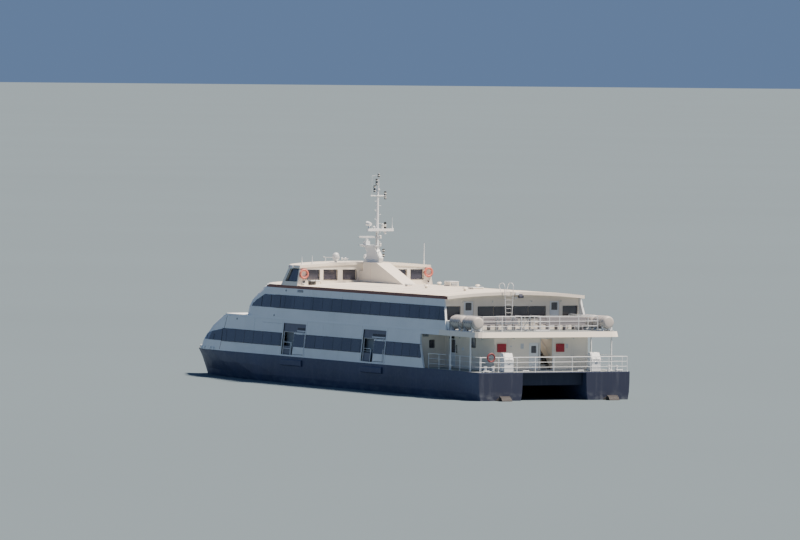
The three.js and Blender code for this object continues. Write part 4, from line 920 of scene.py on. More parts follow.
class FERRY_OT_side_doors(PieceOperator, bpy.types.Operator):
    """Headers, guides, gates and seals of the side door bays, with the leaves' glass and handles."""

    bl_idname = "ferry.side_doors"
    bl_label = "Side doors"

    BACK = HALF_BEAM - RECESS
    FACE = HALF_BEAM - RECESS + 0.012 + 0.05  # outer face of a leaf
    SLOTS = {"forward": (0.15, 1.4), "aft": (0.2, 2.2)}  # air slots in the headers, from the bay's aft end
    HEADER_Z = (3.81, 4.405)
    TRACK_Z = 3.785
    GLASS_Z = (2.73, 3.64)

    def bay(self, bm, name, part):
        b0, b1 = part["bay"]
        back, (low, high) = self.BACK, self.HEADER_Z
        box(bm, (b0 + 0.021, b1 - 0.021), (back + 0.001, back + 0.018), (low, high), 1)
        for x in (b0 + 0.9, b0 + 1.8, b0 + 2.7):
            box(bm, (x - 0.012, x + 0.012), (back + 0.018, back + 0.024), (low + 0.02, high - 0.015), 1)
        s0, s1 = self.SLOTS[name]
        # the black box behind the bars is painted shade inside the air slots
        box(bm, (b0 + s0, b0 + s1), (back + 0.018, back + 0.03), (3.99, 4.13), 2)
        for z in (4.02, 4.06, 4.1):
            box(bm, (b0 + s0, b0 + s1), (back + 0.03, back + 0.036), (z - 0.006, z + 0.006), 1)
        box(bm, (b0 + s0 - 0.05, b0 + s1 + 0.05), (back + 0.018, back + 0.05), (3.87, 3.93), 0)
        rod(bm, (b0 + 0.03, back + 0.035, self.TRACK_Z), (b1 - 0.03, back + 0.035, self.TRACK_Z), 0.014, 3)
        box(bm, (b0 + 0.02, b1 - 0.02), (HALF_BEAM - 0.012, HALF_BEAM - 0.001), (2.082, 2.11), 3)
        for x in (b0 + 0.001, b1 - 0.02):
            box(bm, (x, x + 0.019), (back + 0.001, HALF_BEAM - 0.012), (2.12, 4.4), 2)
        frame_of(bm, (b0 - 0.03, b1 + 0.03), (HALF_BEAM + 0.001, HALF_BEAM + 0.009), (2.1, 4.45), 0.025, 0)

    def gate(self, bm, name, part):
        w0, w1 = part["way"]
        y = self.BACK - 0.03
        box(bm, (w0 + 0.55, w1 - 0.02), (y - 0.05, y - 0.03), (2.12, 2.74), 1)
        if name == "forward":
            pipe(bm, [(w1 - 0.02, y, 3.02), (w0 + 0.5, y, 3.02), (w0 + 0.5, y, 2.09)], 0.022, 0)
            rod(bm, (w0 + 0.36, y, 2.09), (w0 + 0.36, y, 3.06), 0.022, 0)
            rod(bm, (w1 - 0.02, y, 2.56), (w0 + 0.5, y, 2.56), 0.016, 0)
            return
        bend = arc_points((w0 + 0.62, y, 2.9), 0.14, 180, 90, 5, (1, 0, 0), (0, 0, 1))
        pipe(bm, [(w0 + 0.48, y, 2.09), *bend, (w1 - 0.02, y, 3.04)], 0.022, 0)
        rod(bm, (w1 - 0.02, y, 2.86), (w0 + 0.48, y, 2.86), 0.014, 0)

    def leaf(self, name, part, side):
        l0, l1 = part["leaf"]
        face, glass = self.FACE, (l0 + 0.04, l1 - 0.04)
        bm = bmesh.new()
        pane(bm, glass, self.GLASS_Z, on_y(face + 0.001), (0, 0.01, 0), 0, 0.05)
        gasket(bm, glass, self.GLASS_Z, on_y(face + 0.001), (0, 0.007, 0), 0.012, 1, 0.05)
        x = l1 - 0.1
        pipe(bm, [(x, face, 2.4), (x, face + 0.04, 2.4), (x, face + 0.04, 2.66), (x, face, 2.66)], 0.012, 2)
        for share in (0.15, 0.85):
            at = l0 + share * (l1 - l0)
            box(bm, (at - 0.09, at + 0.09), (face + 0.001, face + 0.012), (3.66, 3.835), 2)
            rod(bm, (at, face + 0.012, self.TRACK_Z), (at, face + 0.024, self.TRACK_Z), 0.03, 2, sides=14)
            for bolt in (at - 0.06, at + 0.06):
                rod(bm, (bolt, face + 0.012, 3.69), (bolt, face + 0.02, 3.69), 0.012, 2, sides=6)
        box(bm, (l0 + 0.02, l1 - 0.02), (face + 0.001, face + 0.006), (2.16, 2.19), 1)
        if name == "aft":
            near, far, out = l0 + 0.05, l0 + 0.16, face + 0.045
            pipe(bm, [(near, face, 2.25), (near, out, 2.25), (near, out, 3.05),
                      (far, out, 3.05), (far, out, 2.25), (far, face, 2.25)], 0.014, 2)
        lean(bm)
        to_side(bm, SIDES[side])
        finish_piece(bm, f"side_door_{name}_{side}_trim", ("band_glass", "black_rubber", "bare_aluminium"),
                     body=f"side_door_{name}_{side}")

    def execute(self, context):
        bm = bmesh.new()
        for name, part in BAYS.items():
            self.bay(bm, name, part)
        lean(bm)
        both_sides(bm)
        finish_piece(bm, "side_door_bays", ("fitting_white", "panel_grey", "black_rubber", "bare_aluminium"))
        bm = bmesh.new()
        for name, part in BAYS.items():
            self.gate(bm, name, part)
        lean(bm)
        both_sides(bm)
        finish_piece(bm, "side_door_gates", ("rail_white", "panel_grey"))
        for name, part in BAYS.items():
            for side in SIDES:
                self.leaf(name, part, side)
        return {"FINISHED"}


class FERRY_OT_glazing(PieceOperator, bpy.types.Operator):
    """Joints between the bonded panes, covers of the curved fronts, and the small fittings along the sides."""

    bl_idname = "ferry.glazing"
    bl_label = "Glazing joints and side fittings"

    LOW = (2.72, 3.66)
    HIGH = (5.49, 6.43)
    FLAT = HALF_BEAM + 0.022
    # runs of flat panes: from, to, count, heights of the band
    RUNS = ((-14.7, -9.75, 4, LOW), (-5.6, 3.1, 6, LOW), (7.3, 16.4, 6, LOW), (-17.4, 7.2, 16, HIGH))
    # ends of the flat bands
    BANDS = ((-15.1, -9.62, LOW), (-5.78, 3.28, LOW), (7.18, 17.2, LOW), (-18.2, 8.9, HIGH))

    def flat(self):
        bm = bmesh.new()
        y = (self.FLAT + 0.001, self.FLAT + 0.006)
        for start, end, count, (z0, z1) in self.RUNS:
            for i in range(count + 1):
                x = start + (end - start) * i / count
                box(bm, (x - 0.008, x + 0.008), y, (z0 + 0.03, z1 - 0.03))
        for start, end, (z0, z1) in self.BANDS:
            for z in (z0, z1):
                box(bm, (start, end), (HALF_BEAM + 0.001, self.FLAT + 0.007), (z - 0.012, z + 0.012))
        lean(bm)
        both_sides(bm)
        finish_piece(bm, "glazing_joints", ("black_rubber",))

    def curved(self):
        bm = bmesh.new()
        proud = 0.03
        for i in range(4):
            x = 17.15 + i * 4.25 / 3
            heights = (2.76, 2.98, 3.2, 3.42, 3.62) if x < 18 else (2.76, 2.98, 3.2)
            pipe(bm, [(x, front_y("bow", x, z, proud), z) for z in heights], 0.012)
        for i in range(4):
            x = 7.95 + i * 1.55
            top = min(6.4, 5.95 + (12.1 - x) * 0.34)
            heights = [5.52 + (top - 5.52) * share for share in (0, 0.34, 0.67, 1)]
            pipe(bm, [(x, front_y("high", x, z, proud), z) for z in heights], 0.012)
        both_sides(bm)
        for y in (-4.4 + 8.8 * i / 6 for i in range(7)):
            for front, heights in (("bow", (2.8, 3.1, 3.45, 3.8, 4.05)), ("high", (5.45, 5.7, 5.95, 6.2, 6.5))):
                pipe(bm, [(front_x(front, y, z, 0.035), y, z) for z in heights], 0.014)
        finish_piece(bm, "front_glazing_joints", ("black_rubber",))

    def coaming(self, bm, power, edges, roof=None):
        """A strip along the head of a front, by start, nose, half-breadth and height of its four edges."""
        foot = edges[0][3]
        sections = []
        for i in range(-FRONT_STEPS, FRONT_STEPS + 1):
            section = []
            for start, nose, half, z in edges:
                x, y = front_ring(start, nose, power, half)[FRONT_STEPS - abs(i)]
                y = math.copysign(y, i)
                section.append((x, y, min(z, roof(y) + 0.006) if roof and z > foot else z))
            sections.append(section)
        skin(bm, sections)

    def band_end(self, bm, front, taper, x_end, y_end, heights):
        """Closes the pointed end of a side band, from its taper to the glass of the front, on both sides."""
        steps = 10
        sections = []
        for z in heights:
            x0 = taper(z) - 0.03
            x1 = max(x0 + 0.01, min(x_end, front_x(front, y_end, z)))
            places = [x0 + (x1 - x0) * i / steps for i in range(steps + 1)]
            outer = [(x, front_y(front, x, z, 0.012), z) for x in places]
            inner = [(x, front_y(front, x, z, -0.02), z) for x in reversed(places)]
            sections.append(outer + inner)
        skin(bm, sections)
        skin(bm, [[(x, -y, z) for x, y, z in section] for section in sections])

    def covers(self):
        """The coamings along the heads of both curved fronts and the closed ends of their side bands."""

        def bow_taper(z):
            return 17.0 + (3.66 - z) / 0.61 * 4.5

        def high_taper(z):
            return 12.9 - (z - 5.49) / 0.46 * 0.8 if z < 5.95 else 12.1 - (z - 5.95) / 0.48 * 1.4

        bm = bmesh.new()
        self.coaming(bm, BOW_POWER, (
            (16.7, 19.15, side_at(4.46) + 0.006, 4.46), (16.62, 18.19, 5.785, 4.668),
            (16.6, 18.1, 5.74, 4.64), (16.68, 19.02, side_at(4.44) - 0.03, 4.44)))
        self.coaming(bm, HIGH_POWER, (
            (9.05, 12.2, side_at(7.14) + 0.006, 7.14), (8.9, 11.74, 5.525, 7.285),
            (8.88, 11.66, 5.48, 7.26), (9.03, 12.12, side_at(7.12) - 0.03, 7.12)), roof_top)
        self.band_end(bm, "bow", bow_taper, 21.44, 4.36, [3.07 + i * 0.0763 for i in range(9)])
        self.band_end(bm, "high", high_taper, 12.66, 4.5, [5.66 + i * 0.1 for i in range(9)])
        finish_piece(bm, "front_covers", ("side_white",))

    def fittings(self):
        bm = bmesh.new()
        for x, z in ((14.9, 4.45), (8.8, 4.92), (7.24, 6.8)):
            rod(bm, (x, HALF_BEAM + 0.001, z), (x, HALF_BEAM + 0.015, z), 0.085, 1, sides=18)
            rod(bm, (x, HALF_BEAM + 0.015, z), (x, HALF_BEAM + 0.022, z), 0.06, 2, sides=18)
        louvre(bm, (4.45, 5.35), (HALF_BEAM + 0.001, HALF_BEAM + 0.012), (6.72, 6.9), (0, 1, 0), 4, 0, 2)
        for x, z in ((-0.1, 3.72), (-4.1, 3.72), (-2.0, 6.5), (-5.4, 6.5)):
            box(bm, (x - 0.07, x + 0.07), (HALF_BEAM + 0.001, HALF_BEAM + 0.06), (z, z + 0.05), 0)
        for x, foot in ((3.2, 2.08), (7.25, 2.08), (-9.7, 2.08), (-5.7, 2.08), (11.9, 3.75)):
            box(bm, (x - 0.006, x + 0.006), (HALF_BEAM + 0.0005, HALF_BEAM + 0.003), (foot, 4.6), 3)
        box(bm, (7.4, 10.6), (HALF_BEAM + 0.0005, HALF_BEAM + 0.003), (4.35, 4.362), 3)
        box(bm, (-15.4, 16.4), (HALF_BEAM + 0.001, HALF_BEAM + 0.02), (4.615, 4.645), 0)
        lean(bm)
        both_sides(bm)
        finish_piece(bm, "side_fittings", ("fitting_white", "bare_aluminium", "dark_and_painted_shade", "panel_grey"))

    def seam(self):
        bm = bmesh.new()
        heights = [2.08 + i * (4.62 - 2.08) / 8 for i in range(9)]
        line = [(17.4 - 0.31 * (z - 2.06), side_at(z) + 0.004, z) for z in heights]
        for low, high in zip(line, line[1:]):
            rod(bm, low, high, 0.014, 0 if low[2] > 2.72 else 1, sides=6)
        both_sides(bm)
        finish_piece(bm, "bow_seam", ("black_rubber", "line_brown"))

    def execute(self, context):
        self.flat()
        self.curved()
        self.covers()
        self.fittings()
        self.seam()
        return {"FINISHED"}


class FERRY_OT_roof(PieceOperator, bpy.types.Operator):
    """Gutters, cover strips and box lids of the saloon roof."""

    bl_idname = "ferry.roof"
    bl_label = "Roof fittings"

    # boxes of the frame's roof: reach along, reach across, height
    BOXES = (
        ((-5.05, -4.15), (-2.35, -1.65), 0.36), ((-4.6, -4.2), (1.2, 1.6), 0.16),
        ((4.55, 5.0), (4.55, 4.85), 0.34), ((4.6, 5.05), (4.1, 4.42), 0.3),
        ((-12.6, -11.8), (-0.4, 0.4), 0.14),
    )
    STRIP_REACH = 5.45  # the cover strips end short of the gutters
    CASING_HALF = 0.6  # and leave out the mast casing, from CASING_AFT_X on
    CASING_AFT_X = -2.0
    STRIPS_END_X = 4.4

    def strip(self, bm, x, y0, y1):
        width, thick, steps = 0.035, 0.014, 16
        ring = ((x - width, y0, 0.001), (x + width, y0, 0.001), (x + width, y0, thick), (x - width, y0, thick))
        stops = [(0, (y1 - y0) * i / steps, roof_top(y0 + (y1 - y0) * i / steps)) for i in range(steps + 1)]
        swept(bm, ring, stops)

    def execute(self, context):
        pitch = context.scene.ferry_sizes.roof_seam_pitch
        bm = bmesh.new()
        x = ROOF_AFT_X + 0.9
        while x <= self.STRIPS_END_X:
            if x > self.CASING_AFT_X:
                self.strip(bm, x, -self.STRIP_REACH, -self.CASING_HALF)
                self.strip(bm, x, self.CASING_HALF, self.STRIP_REACH)
            else:
                self.strip(bm, x, -self.STRIP_REACH, self.STRIP_REACH)
            x += pitch
        finish_piece(bm, "roof_cover_strips", ("roof_white",))
        bm = bmesh.new()
        for x, y, height in self.BOXES:
            top = roof_top(sum(y) / 2) + height
            box(bm, (x[0] - 0.02, x[1] + 0.02), (y[0] - 0.02, y[1] + 0.02), (top - 0.05, top + 0.012), 0)
            middle = sum(x) / 2
            pipe(bm, [(middle - 0.09, y[1], top - 0.11), (middle - 0.09, y[1] + 0.035, top - 0.11),
                      (middle + 0.09, y[1] + 0.035, top - 0.11), (middle + 0.09, y[1], top - 0.11)], 0.009, 1)
        louvre(bm, (-5.068, -5.052), (-2.27, -1.73), (7.5, 7.7), (-1, 0, 0), 5, 0, 2)
        top = roof_top(4.7)
        box(bm, (4.535, 5.015), (4.535, 4.865), (top + 0.01, top + 0.36), 3)
        finish_piece(bm, "roof_box_lids", ("fitting_white", "bare_aluminium", "dark_and_painted_shade", "black_plastic"),
                     bevel=0.006)
        bm = bmesh.new()
        box(bm, (ROOF_AFT_X + 0.3, 8.75), (5.53, 5.545), (6.985, 7.17), 0)
        box(bm, (ROOF_AFT_X + 0.3, 8.75), (5.5, 5.552), (7.17, 7.205), 0)
        for x in (ROOF_AFT_X + 0.6 + i * 2.24 for i in range(13)):
            box(bm, (x - 0.03, x + 0.03), (5.545, 5.55), (6.99, 7.16), 0)
        both_sides(bm)
        finish_piece(bm, "roof_gutters", ("line_brown",))
        bm = bmesh.new()
        box(bm, (ROOF_AFT_X - 0.14, ROOF_AFT_X - 0.002), (-0.44, -0.16), (7.16, 7.34), 1)
        box(bm, (ROOF_AFT_X - 0.1, ROOF_AFT_X - 0.002), (-0.2, 0.12), (7.26, 7.44), 0)
        box(bm, (-18.0, -17.75), (-0.8, -0.5), (7.02, 7.2), 1)
        box(bm, (-18.0, -17.75), (-0.3, -0.1), (6.98, 7.1), 0)
        finish_piece(bm, "roof_aft_lights", ("fitting_white", "panel_grey"), bevel=0.006)
        return {"FINISHED"}


class FERRY_OT_wheelhouse(PieceOperator, bpy.types.Operator):
    """Window frames, wipers, lifebuoys, lights and aerials of the wheelhouse."""

    bl_idname = "ferry.wheelhouse"
    bl_label = "Wheelhouse fittings"

    WINDOWS = ((0.78, 1.84), (2.33, 3.43), (3.79, 4.81))
    WINDOW_Z = (7.66, 8.36)
    BUOY_X = WHEEL_AFT_X - 0.105
    BUOY_RADIUS = 0.3
    HORN = ((0.0, 0.0), (0.03, 0.0), (0.03, 0.2), (0.05, 0.34), (0.09, 0.4), (0.08, 0.4), (0.03, 0.3),
            (0.0, 0.3))
    # aerials on the roof: x, y, height
    WHIPS = ((6.2, 4.8, 0.62), (6.1, 4.0, 0.6), (6.6, 1.7, 0.5), (6.0, -1.6, 0.7))

    def frames(self):
        bm = bmesh.new()
        for y in self.WINDOWS:
            gasket(bm, y, self.WINDOW_Z, on_x(WHEEL_AFT_X - 0.001), (-0.012, 0, 0), 0.035, 0, 0.02)
            box(bm, (WHEEL_AFT_X - 0.03, WHEEL_AFT_X - 0.001), (y[0] - 0.05, y[1] + 0.05), (8.4, 8.42), 1)
        both_sides(bm)
        for y in (-4.95 + 1.1 * i for i in range(9)):
            for edge in (y + 0.07, y + 1.03):
                line = [(front_x("wheel", edge, z, 0.005), edge, z) for z in (7.75, 8.42)]
                rod(bm, *line, 0.016, 0, sides=6)
        for y in (-2.75, -0.55, 1.65, 3.85):
            foot = Vector((front_x("wheel", y, 7.68, 0.045), y, 7.68))
            tip = Vector((front_x("wheel", y + 0.25, 8.2, 0.045), y + 0.25, 8.2))
            ball(bm, foot, 0.035, 0)
            rod(bm, foot, tip, 0.01, 0)
            rod(bm, tip - Vector((-0.12, 0, 0.26)), tip + Vector((-0.1, 0, 0.2)), 0.008, 0)
        corners = ((5.5, 7.52), (7.34, 7.52), (6.8, 8.44), (5.5, 8.44), (5.5, 7.52))
        for side in SIDES.values():
            pipe(bm, [(x, side * (wheel_side(z) + 0.003), z) for x, z in corners], 0.018, 0, 6)
        finish_piece(bm, "wheelhouse_frames", ("black_rubber", "fitting_white"))

    def lifebuoys(self):
        bm = bmesh.new()
        x, radius = self.BUOY_X, self.BUOY_RADIUS
        for y, z in ((5.11, 8.07), (-5.22, 8.18)):
            hoop(bm, (x, y, z), radius, 0.08, (1, 0, 0), 0, steps=32, sides=12, stripes=(4, 0.1, 1))
            for angle in (35, 145, 215, 325):
                out, rise = radius * math.cos(math.radians(angle)), radius * math.sin(math.radians(angle))
                at = Vector((x, max(-5.4, min(5.4, y + out)), z + rise))
                rod(bm, at, at + Vector((0.103, 0, 0)), 0.022, 1)
            # the buoy's own light on its bracket
            box(bm, (WHEEL_AFT_X - 0.14, WHEEL_AFT_X - 0.001), (y - 0.12, y + 0.12), (7.36, 7.4), 1)
            light = Vector((WHEEL_AFT_X - 0.08, y - 0.02, 7.4))
            rod(bm, light, light + UP * 0.16, 0.05, 2, sides=14)
            rod(bm, light + UP * 0.16, light + UP * 0.22, 0.035, 3, sides=14)
        finish_piece(bm, "lifebuoys", ("buoy_orange", "fitting_white", "dark_and_painted_shade", "lens_clear"))

    def roof(self):
        bm = bmesh.new()
        for x, y, height in self.WHIPS:
            whip(bm, (x, y, wheel_top(y) - 0.002), height, 0.045)
        foot = Vector((5.3, -4.88, wheel_top(4.88) - 0.002))
        rod(bm, foot, foot + UP * 0.34, 0.055, 0, sides=12)
        rod(bm, foot + UP * 0.34, foot + UP * 1.55, 0.036, 0, sides=10, end_radius=0.024)
        top = wheel_top(2.1)
        rod(bm, (7.7, 2.1, top), (7.7, 2.1, 9.24), 0.022, 0)
        rod(bm, (6.35, 2.1, 9.24), (8.0, 2.1, 9.24), 0.018, 0)
        rod(bm, (8.0, 2.1, 9.2), (8.0, 2.1, 9.3), 0.04, 0, sides=12)
        for y in (0.5, 0.78):
            rod(bm, (7.3, y, wheel_top(y)), (7.3, y, wheel_top(y) + 0.16), 0.02, 0)
            turned(bm, self.HORN, (7.2, y, wheel_top(y) + 0.19), (1, 0, 0), 0, 20)
        # searchlight
        y, z = -1.4, wheel_top(1.4)
        rod(bm, (7.9, y, z), (7.9, y, z + 0.22), 0.035, 0)
        rod(bm, (7.78, y, z + 0.34), (8.04, y, z + 0.34), 0.15, 0, sides=20, end_radius=0.17)
        rod(bm, (8.04, y, z + 0.34), (8.055, y, z + 0.34), 0.15, 1, sides=20)
        hoop(bm, (6.0, 2.1, top + 0.2), 0.235, 0.012, UP, 0)
        finish_piece(bm, "wheelhouse_roof_gear", ("fitting_white", "lens_clear"))

    def sidelights(self):
        for side, lens in (("port", "lens_red"), ("starboard", "lens_green")):
            bm = bmesh.new()
            wall = wheel_side(8.55)
            box(bm, (6.3, 6.72), (wall - 0.02, wall + 0.12), (8.46, 8.66), 0)
            box(bm, (6.3, 6.95), (wall + 0.04, wall + 0.06), (8.44, 8.68), 0)
            rod(bm, (6.72, wall + 0.1, 8.56), (6.8, wall + 0.1, 8.56), 0.035, 1, sides=14)
            to_side(bm, SIDES[side])
            finish_piece(bm, f"sidelight_{side}", ("fitting_white", lens))

    def execute(self, context):
        self.frames()
        self.lifebuoys()
        self.roof()
        self.sidelights()
        return {"FINISHED"}


class FERRY_OT_mast(PieceOperator, bpy.types.Operator):
    """Lamps, steps, halyard and aerials of the mast, and the scanner's end caps."""

    bl_idname = "ferry.mast"
    bl_label = "Mast fittings"

    # lamps: x, y, foot, height
    BLACK_LAMPS = (
        (3.3, 0.0, 15.265, 0.22), (3.35, -0.58, 13.91, 0.27), (3.35, -0.58, 13.62, 0.2),
        (3.26, -0.55, 11.46, 0.46), (3.62, 0.0, 14.9, 0.2), (3.62, 0.0, 14.64, 0.2), (3.95, 0.0, 14.4, 0.2),
        (3.95, 0.0, 14.14, 0.2), (2.4, 0.0, 9.76, 0.2), (2.4, 0.0, 9.4, 0.2),
    )
    WHITE_LAMPS = (
        (3.26, -0.55, 11.05, 0.2), (2.95, 0.0, 10.75, 0.2), (2.95, 0.0, 10.18, 0.2), (3.26, -0.34, 11.46, 0.34),
    )
    LAMP_RADIUS = 0.086
    KNOB = ((0.0, 0.0), (0.03, 0.0), (0.03, 0.1), (0.085, 0.11), (0.085, 0.15), (0.05, 0.19), (0.0, 0.2))

    def execute(self, context):
        bm = bmesh.new()
        for casing, lamps in ((1, self.BLACK_LAMPS), (0, self.WHITE_LAMPS)):
            for *foot, height in lamps:
                lamp(bm, foot, height, self.LAMP_RADIUS, casing, 2)
        for i in range(11):
            z, out = 10.5 + i * 0.33, 1 if i % 2 else -1
            rod(bm, (3.4, 0.09 * out, z), (3.4, 0.26 * out, z), 0.012, 0)
            rod(bm, (3.4, 0.25 * out, z), (3.4, 0.25 * out, z + 0.05), 0.01, 0)
        pipe(bm, [(3.35, 0.52, 13.92), (3.35, 0.52, 15.33), (3.3, 0.03, 15.42)], 0.009, 0, sides=6)
        whip(bm, (3.26, -1.14, 11.46), 0.85, 0.036)
        whip(bm, (3.2, 0.55, 11.46), 0.3, 0.02)
        turned(bm, self.KNOB, (3.26, 0.36, 11.455), UP, 0, 18)
        lens = Vector((3.5, 0.82, 11.84))
        ahead = Vector((0.4, 0.1, 0.06)).normalized()
        rod(bm, lens, lens + ahead * 0.012, 0.15, 2, sides=20)
        rod(bm, lens - ahead * 0.42, lens - ahead * 0.4, 0.11, 0, sides=20)
        for z in (10.35, 12.3, 13.2):
            hoop(bm, (3.45, 0, z), 0.125 - (z - 9.2) * 0.0075, 0.012, UP, 0)
        pipe(bm, [(3.36, 0.12, 9.7), (3.36, 0.12, 11.2)], 0.012, 1)
        finish_piece(bm, "mast_fittings", ("fitting_white", "black_plastic", "lens_clear"))
        bm = bmesh.new()
        z = (10.722, 10.858)
        for y in ((0.59, 0.625), (-0.625, -0.59)):
            box(bm, (5.085, 5.215), y, z, 0)
        box(bm, (5.08, 5.22), (-0.58, 0.58), (10.785, 10.795), 1)
        finish_piece(bm, "radar_trim", ("fitting_white", "black_plastic"),
                     body="radar_scanner", bevel=0.006)
        return {"FINISHED"}


class FERRY_OT_rails(PieceOperator, bpy.types.Operator):
    """Round-tube guard rails, the walkway pillars and the roof ladder."""

    bl_idname = "ferry.rails"
    bl_label = "Rails and ladder"

    UPPER_Y, UPPER_AFT_X = 4.62, -22.05
    AFT_X, AFT_Y = -24.1, 5.9
    WALKWAY_Y, WALKWAY_X = 5.66, (-15.85, -23.8)
    PILLARS_X = (-19.2, -22.2)
    PILLAR_TOP = 4.419

    def ladder(self):
        bm = bmesh.new()
        x, (y0, y1), top, reach = ROOF_AFT_X - 0.12, (0.47, 0.87), 7.88, 0.82
        for y, out in ((y0, -1), (y1, 1)):
            loop = arc_points((x + reach / 2, y, top), reach / 2, 180, 0, 12, (1, 0, 0), (0, 0, 0.55))
            line = [Vector(point) for point in (
                (x, y, UPPER_Z + 0.002), (x, y, top), *loop[1:-1], (x + reach, y, top),
                (x + reach, y, roof_top(y)))]
            # the stiles part above the roof's edge
            pipe(bm, [p + Vector((0, out * 0.15 * max(0, min(1, (p.z - 7.4) * 2.5)), 0)) for p in line], 0.025)
            rod(bm, (x, y, UPPER_Z + 0.001), (x, y, UPPER_Z + 0.015), 0.06, 0, sides=12)
            rod(bm, (x, y, 6.9), (x + 0.7, y, 6.9), 0.014)
        for i in range(9):
            z = UPPER_Z + 0.3 * (i + 1)
            rod(bm, (x, y0, z), (x, y1, z), 0.011)
        finish_piece(bm, "roof_ladder_tubes", ("rail_white",), replaces=("roof_ladder",))

    def execute(self, context):
        sizes = context.scene.ferry_sizes
        bm = bmesh.new()
        forward, aft, y = AFT_WALL_X - 0.06, self.UPPER_AFT_X, self.UPPER_Y
        guard(bm, [(forward, y), (aft, y), (aft, -y), (forward, -y)], UPPER_Z, 1.5, sizes)
        finish_piece(bm, "upper_rail_tubes", ("rail_white",), replaces=("upper_deck_rail",))
        bm = bmesh.new()
        guard(bm, [(self.AFT_X, self.AFT_Y), (self.AFT_X, -self.AFT_Y)], DECK_Z, 1.5, sizes)
        finish_piece(bm, "aft_rail_tubes", ("rail_white",), replaces=("main_deck_aft_rail",))
        for side, sign in SIDES.items():
            bm = bmesh.new()
            y = self.WALKWAY_Y
            guard(bm, [(x, y) for x in self.WALKWAY_X], DECK_Z, 1.6, sizes, wires=True)
            for x in self.PILLARS_X:
                foot, head = DECK_Z + 0.001, self.PILLAR_TOP
                rod(bm, (x, y, foot), (x, y, head), 0.055, 0, sides=14)
                for low, high in ((foot, foot + 0.019), (head - 0.019, head)):
                    rod(bm, (x, y, low), (x, y, high), 0.11, 0, sides=14)
            to_side(bm, sign)
            finish_piece(bm, f"walkway_rail_tubes_{side}", ("rail_white",),
                         replaces=(f"walkway_rail_{side}",))
        self.ladder()
        return {"FINISHED"}


class FERRY_OT_rafts(PieceOperator, bpy.types.Operator):
    """Two ribbed raft canisters in line on a cradle, each side."""

    bl_idname = "ferry.rafts"
    bl_label = "Life rafts"

    AFT, LENGTH, GAP, LIFT, Y, R = -22.6, 1.8, 0.14, 0.16, 5.24, 0.46
    # radius and reach along the canister, from its end to near its middle
    HALF_PROFILE = (
        (0.0, 0.0), (0.30, 0.0), (0.34, 0.012), (0.40, 0.05), (0.435, 0.11), (0.446, 0.2), (0.446, 0.34),
        (0.458, 0.36), (0.458, 0.42), (0.446, 0.44), (0.446, 0.62), (0.458, 0.64), (0.458, 0.70), (0.446, 0.72),
    )
    STRAP = ((0.447, -0.02), (0.464, -0.02), (0.464, 0.02), (0.447, 0.02), (0.447, -0.02))

    def canister(self, bm, x0, y, z):
        other_half = [(radius, self.LENGTH - reach) for radius, reach in reversed(self.HALF_PROFILE)]
        turned(bm, [*self.HALF_PROFILE, *other_half], (x0, y, z), (1, 0, 0), 0, 32)
        for joint, clip in ((y - 0.45, y - 0.47), (y + 0.45, y + 0.47)):
            box(bm, (x0 + 0.06, x0 + self.LENGTH - 0.06), (joint - 0.02, joint + 0.02), (z - 0.016, z + 0.016))
            for share in (0.12, 0.3, 0.5, 0.7, 0.88):
                x = x0 + share * self.LENGTH
                box(bm, (x - 0.02, x + 0.02), (clip - 0.012, clip + 0.012), (z - 0.03, z + 0.03), 1)
        for share in (0.235, 0.5, 0.765):
            turned(bm, self.STRAP, (x0 + share * self.LENGTH, y, z), (1, 0, 0), 2, 32)

    def cradle(self, bm, x0, y, z):
        foot = UPPER_Z + 0.001
        for x in (x0 + 0.3, x0 + self.LENGTH - 0.3):
            arc = arc_points((x, y, z), self.R + 0.005, 205, 335, 14, (0, 1, 0), (0, 0, 1))
            outline = [(x, y + 0.42, foot), (x, y + 0.42, arc[-1].z), *reversed(arc), (x, y - 0.42, arc[0].z),
                       (x, y - 0.42, foot), (x, y - 0.3, foot), (x, y - 0.2, foot + 0.09),
                       (x, y + 0.2, foot + 0.09), (x, y + 0.3, foot)]
            sheet_of(bm, outline, (0.035, 0, 0), 3)
            rod(bm, (x + 0.018, y + 0.47, z - 0.02), (x + 0.018, y + 0.4, foot + 0.06), 0.012, 1)
        for runner in (y - 0.38, y + 0.38):
            box(bm, (x0 + 0.1, x0 + self.LENGTH - 0.1), (runner - 0.025, runner + 0.025),
                (foot, foot + 0.05), 3)
        release = (x0 + self.LENGTH / 2, y + 0.4)
        rod(bm, (*release, foot + 0.05), (*release, foot + 0.15), 0.05, 1, sides=14)

    def execute(self, context):
        z = UPPER_Z + self.LIFT + self.R
        for side, sign in SIDES.items():
            bm = bmesh.new()
            for i in range(2):
                x0 = self.AFT + i * (self.LENGTH + self.GAP)
                self.canister(bm, x0, self.Y, z)
                self.cradle(bm, x0, self.Y, z)
            to_side(bm, sign)
            finish_piece(bm, f"raft_canisters_{side}",
                         ("raft_white", "black_rubber", "bare_aluminium", "fitting_white"),
                         replaces=(f"life_rafts_{side}",), smooth=30)
        return {"FINISHED"}


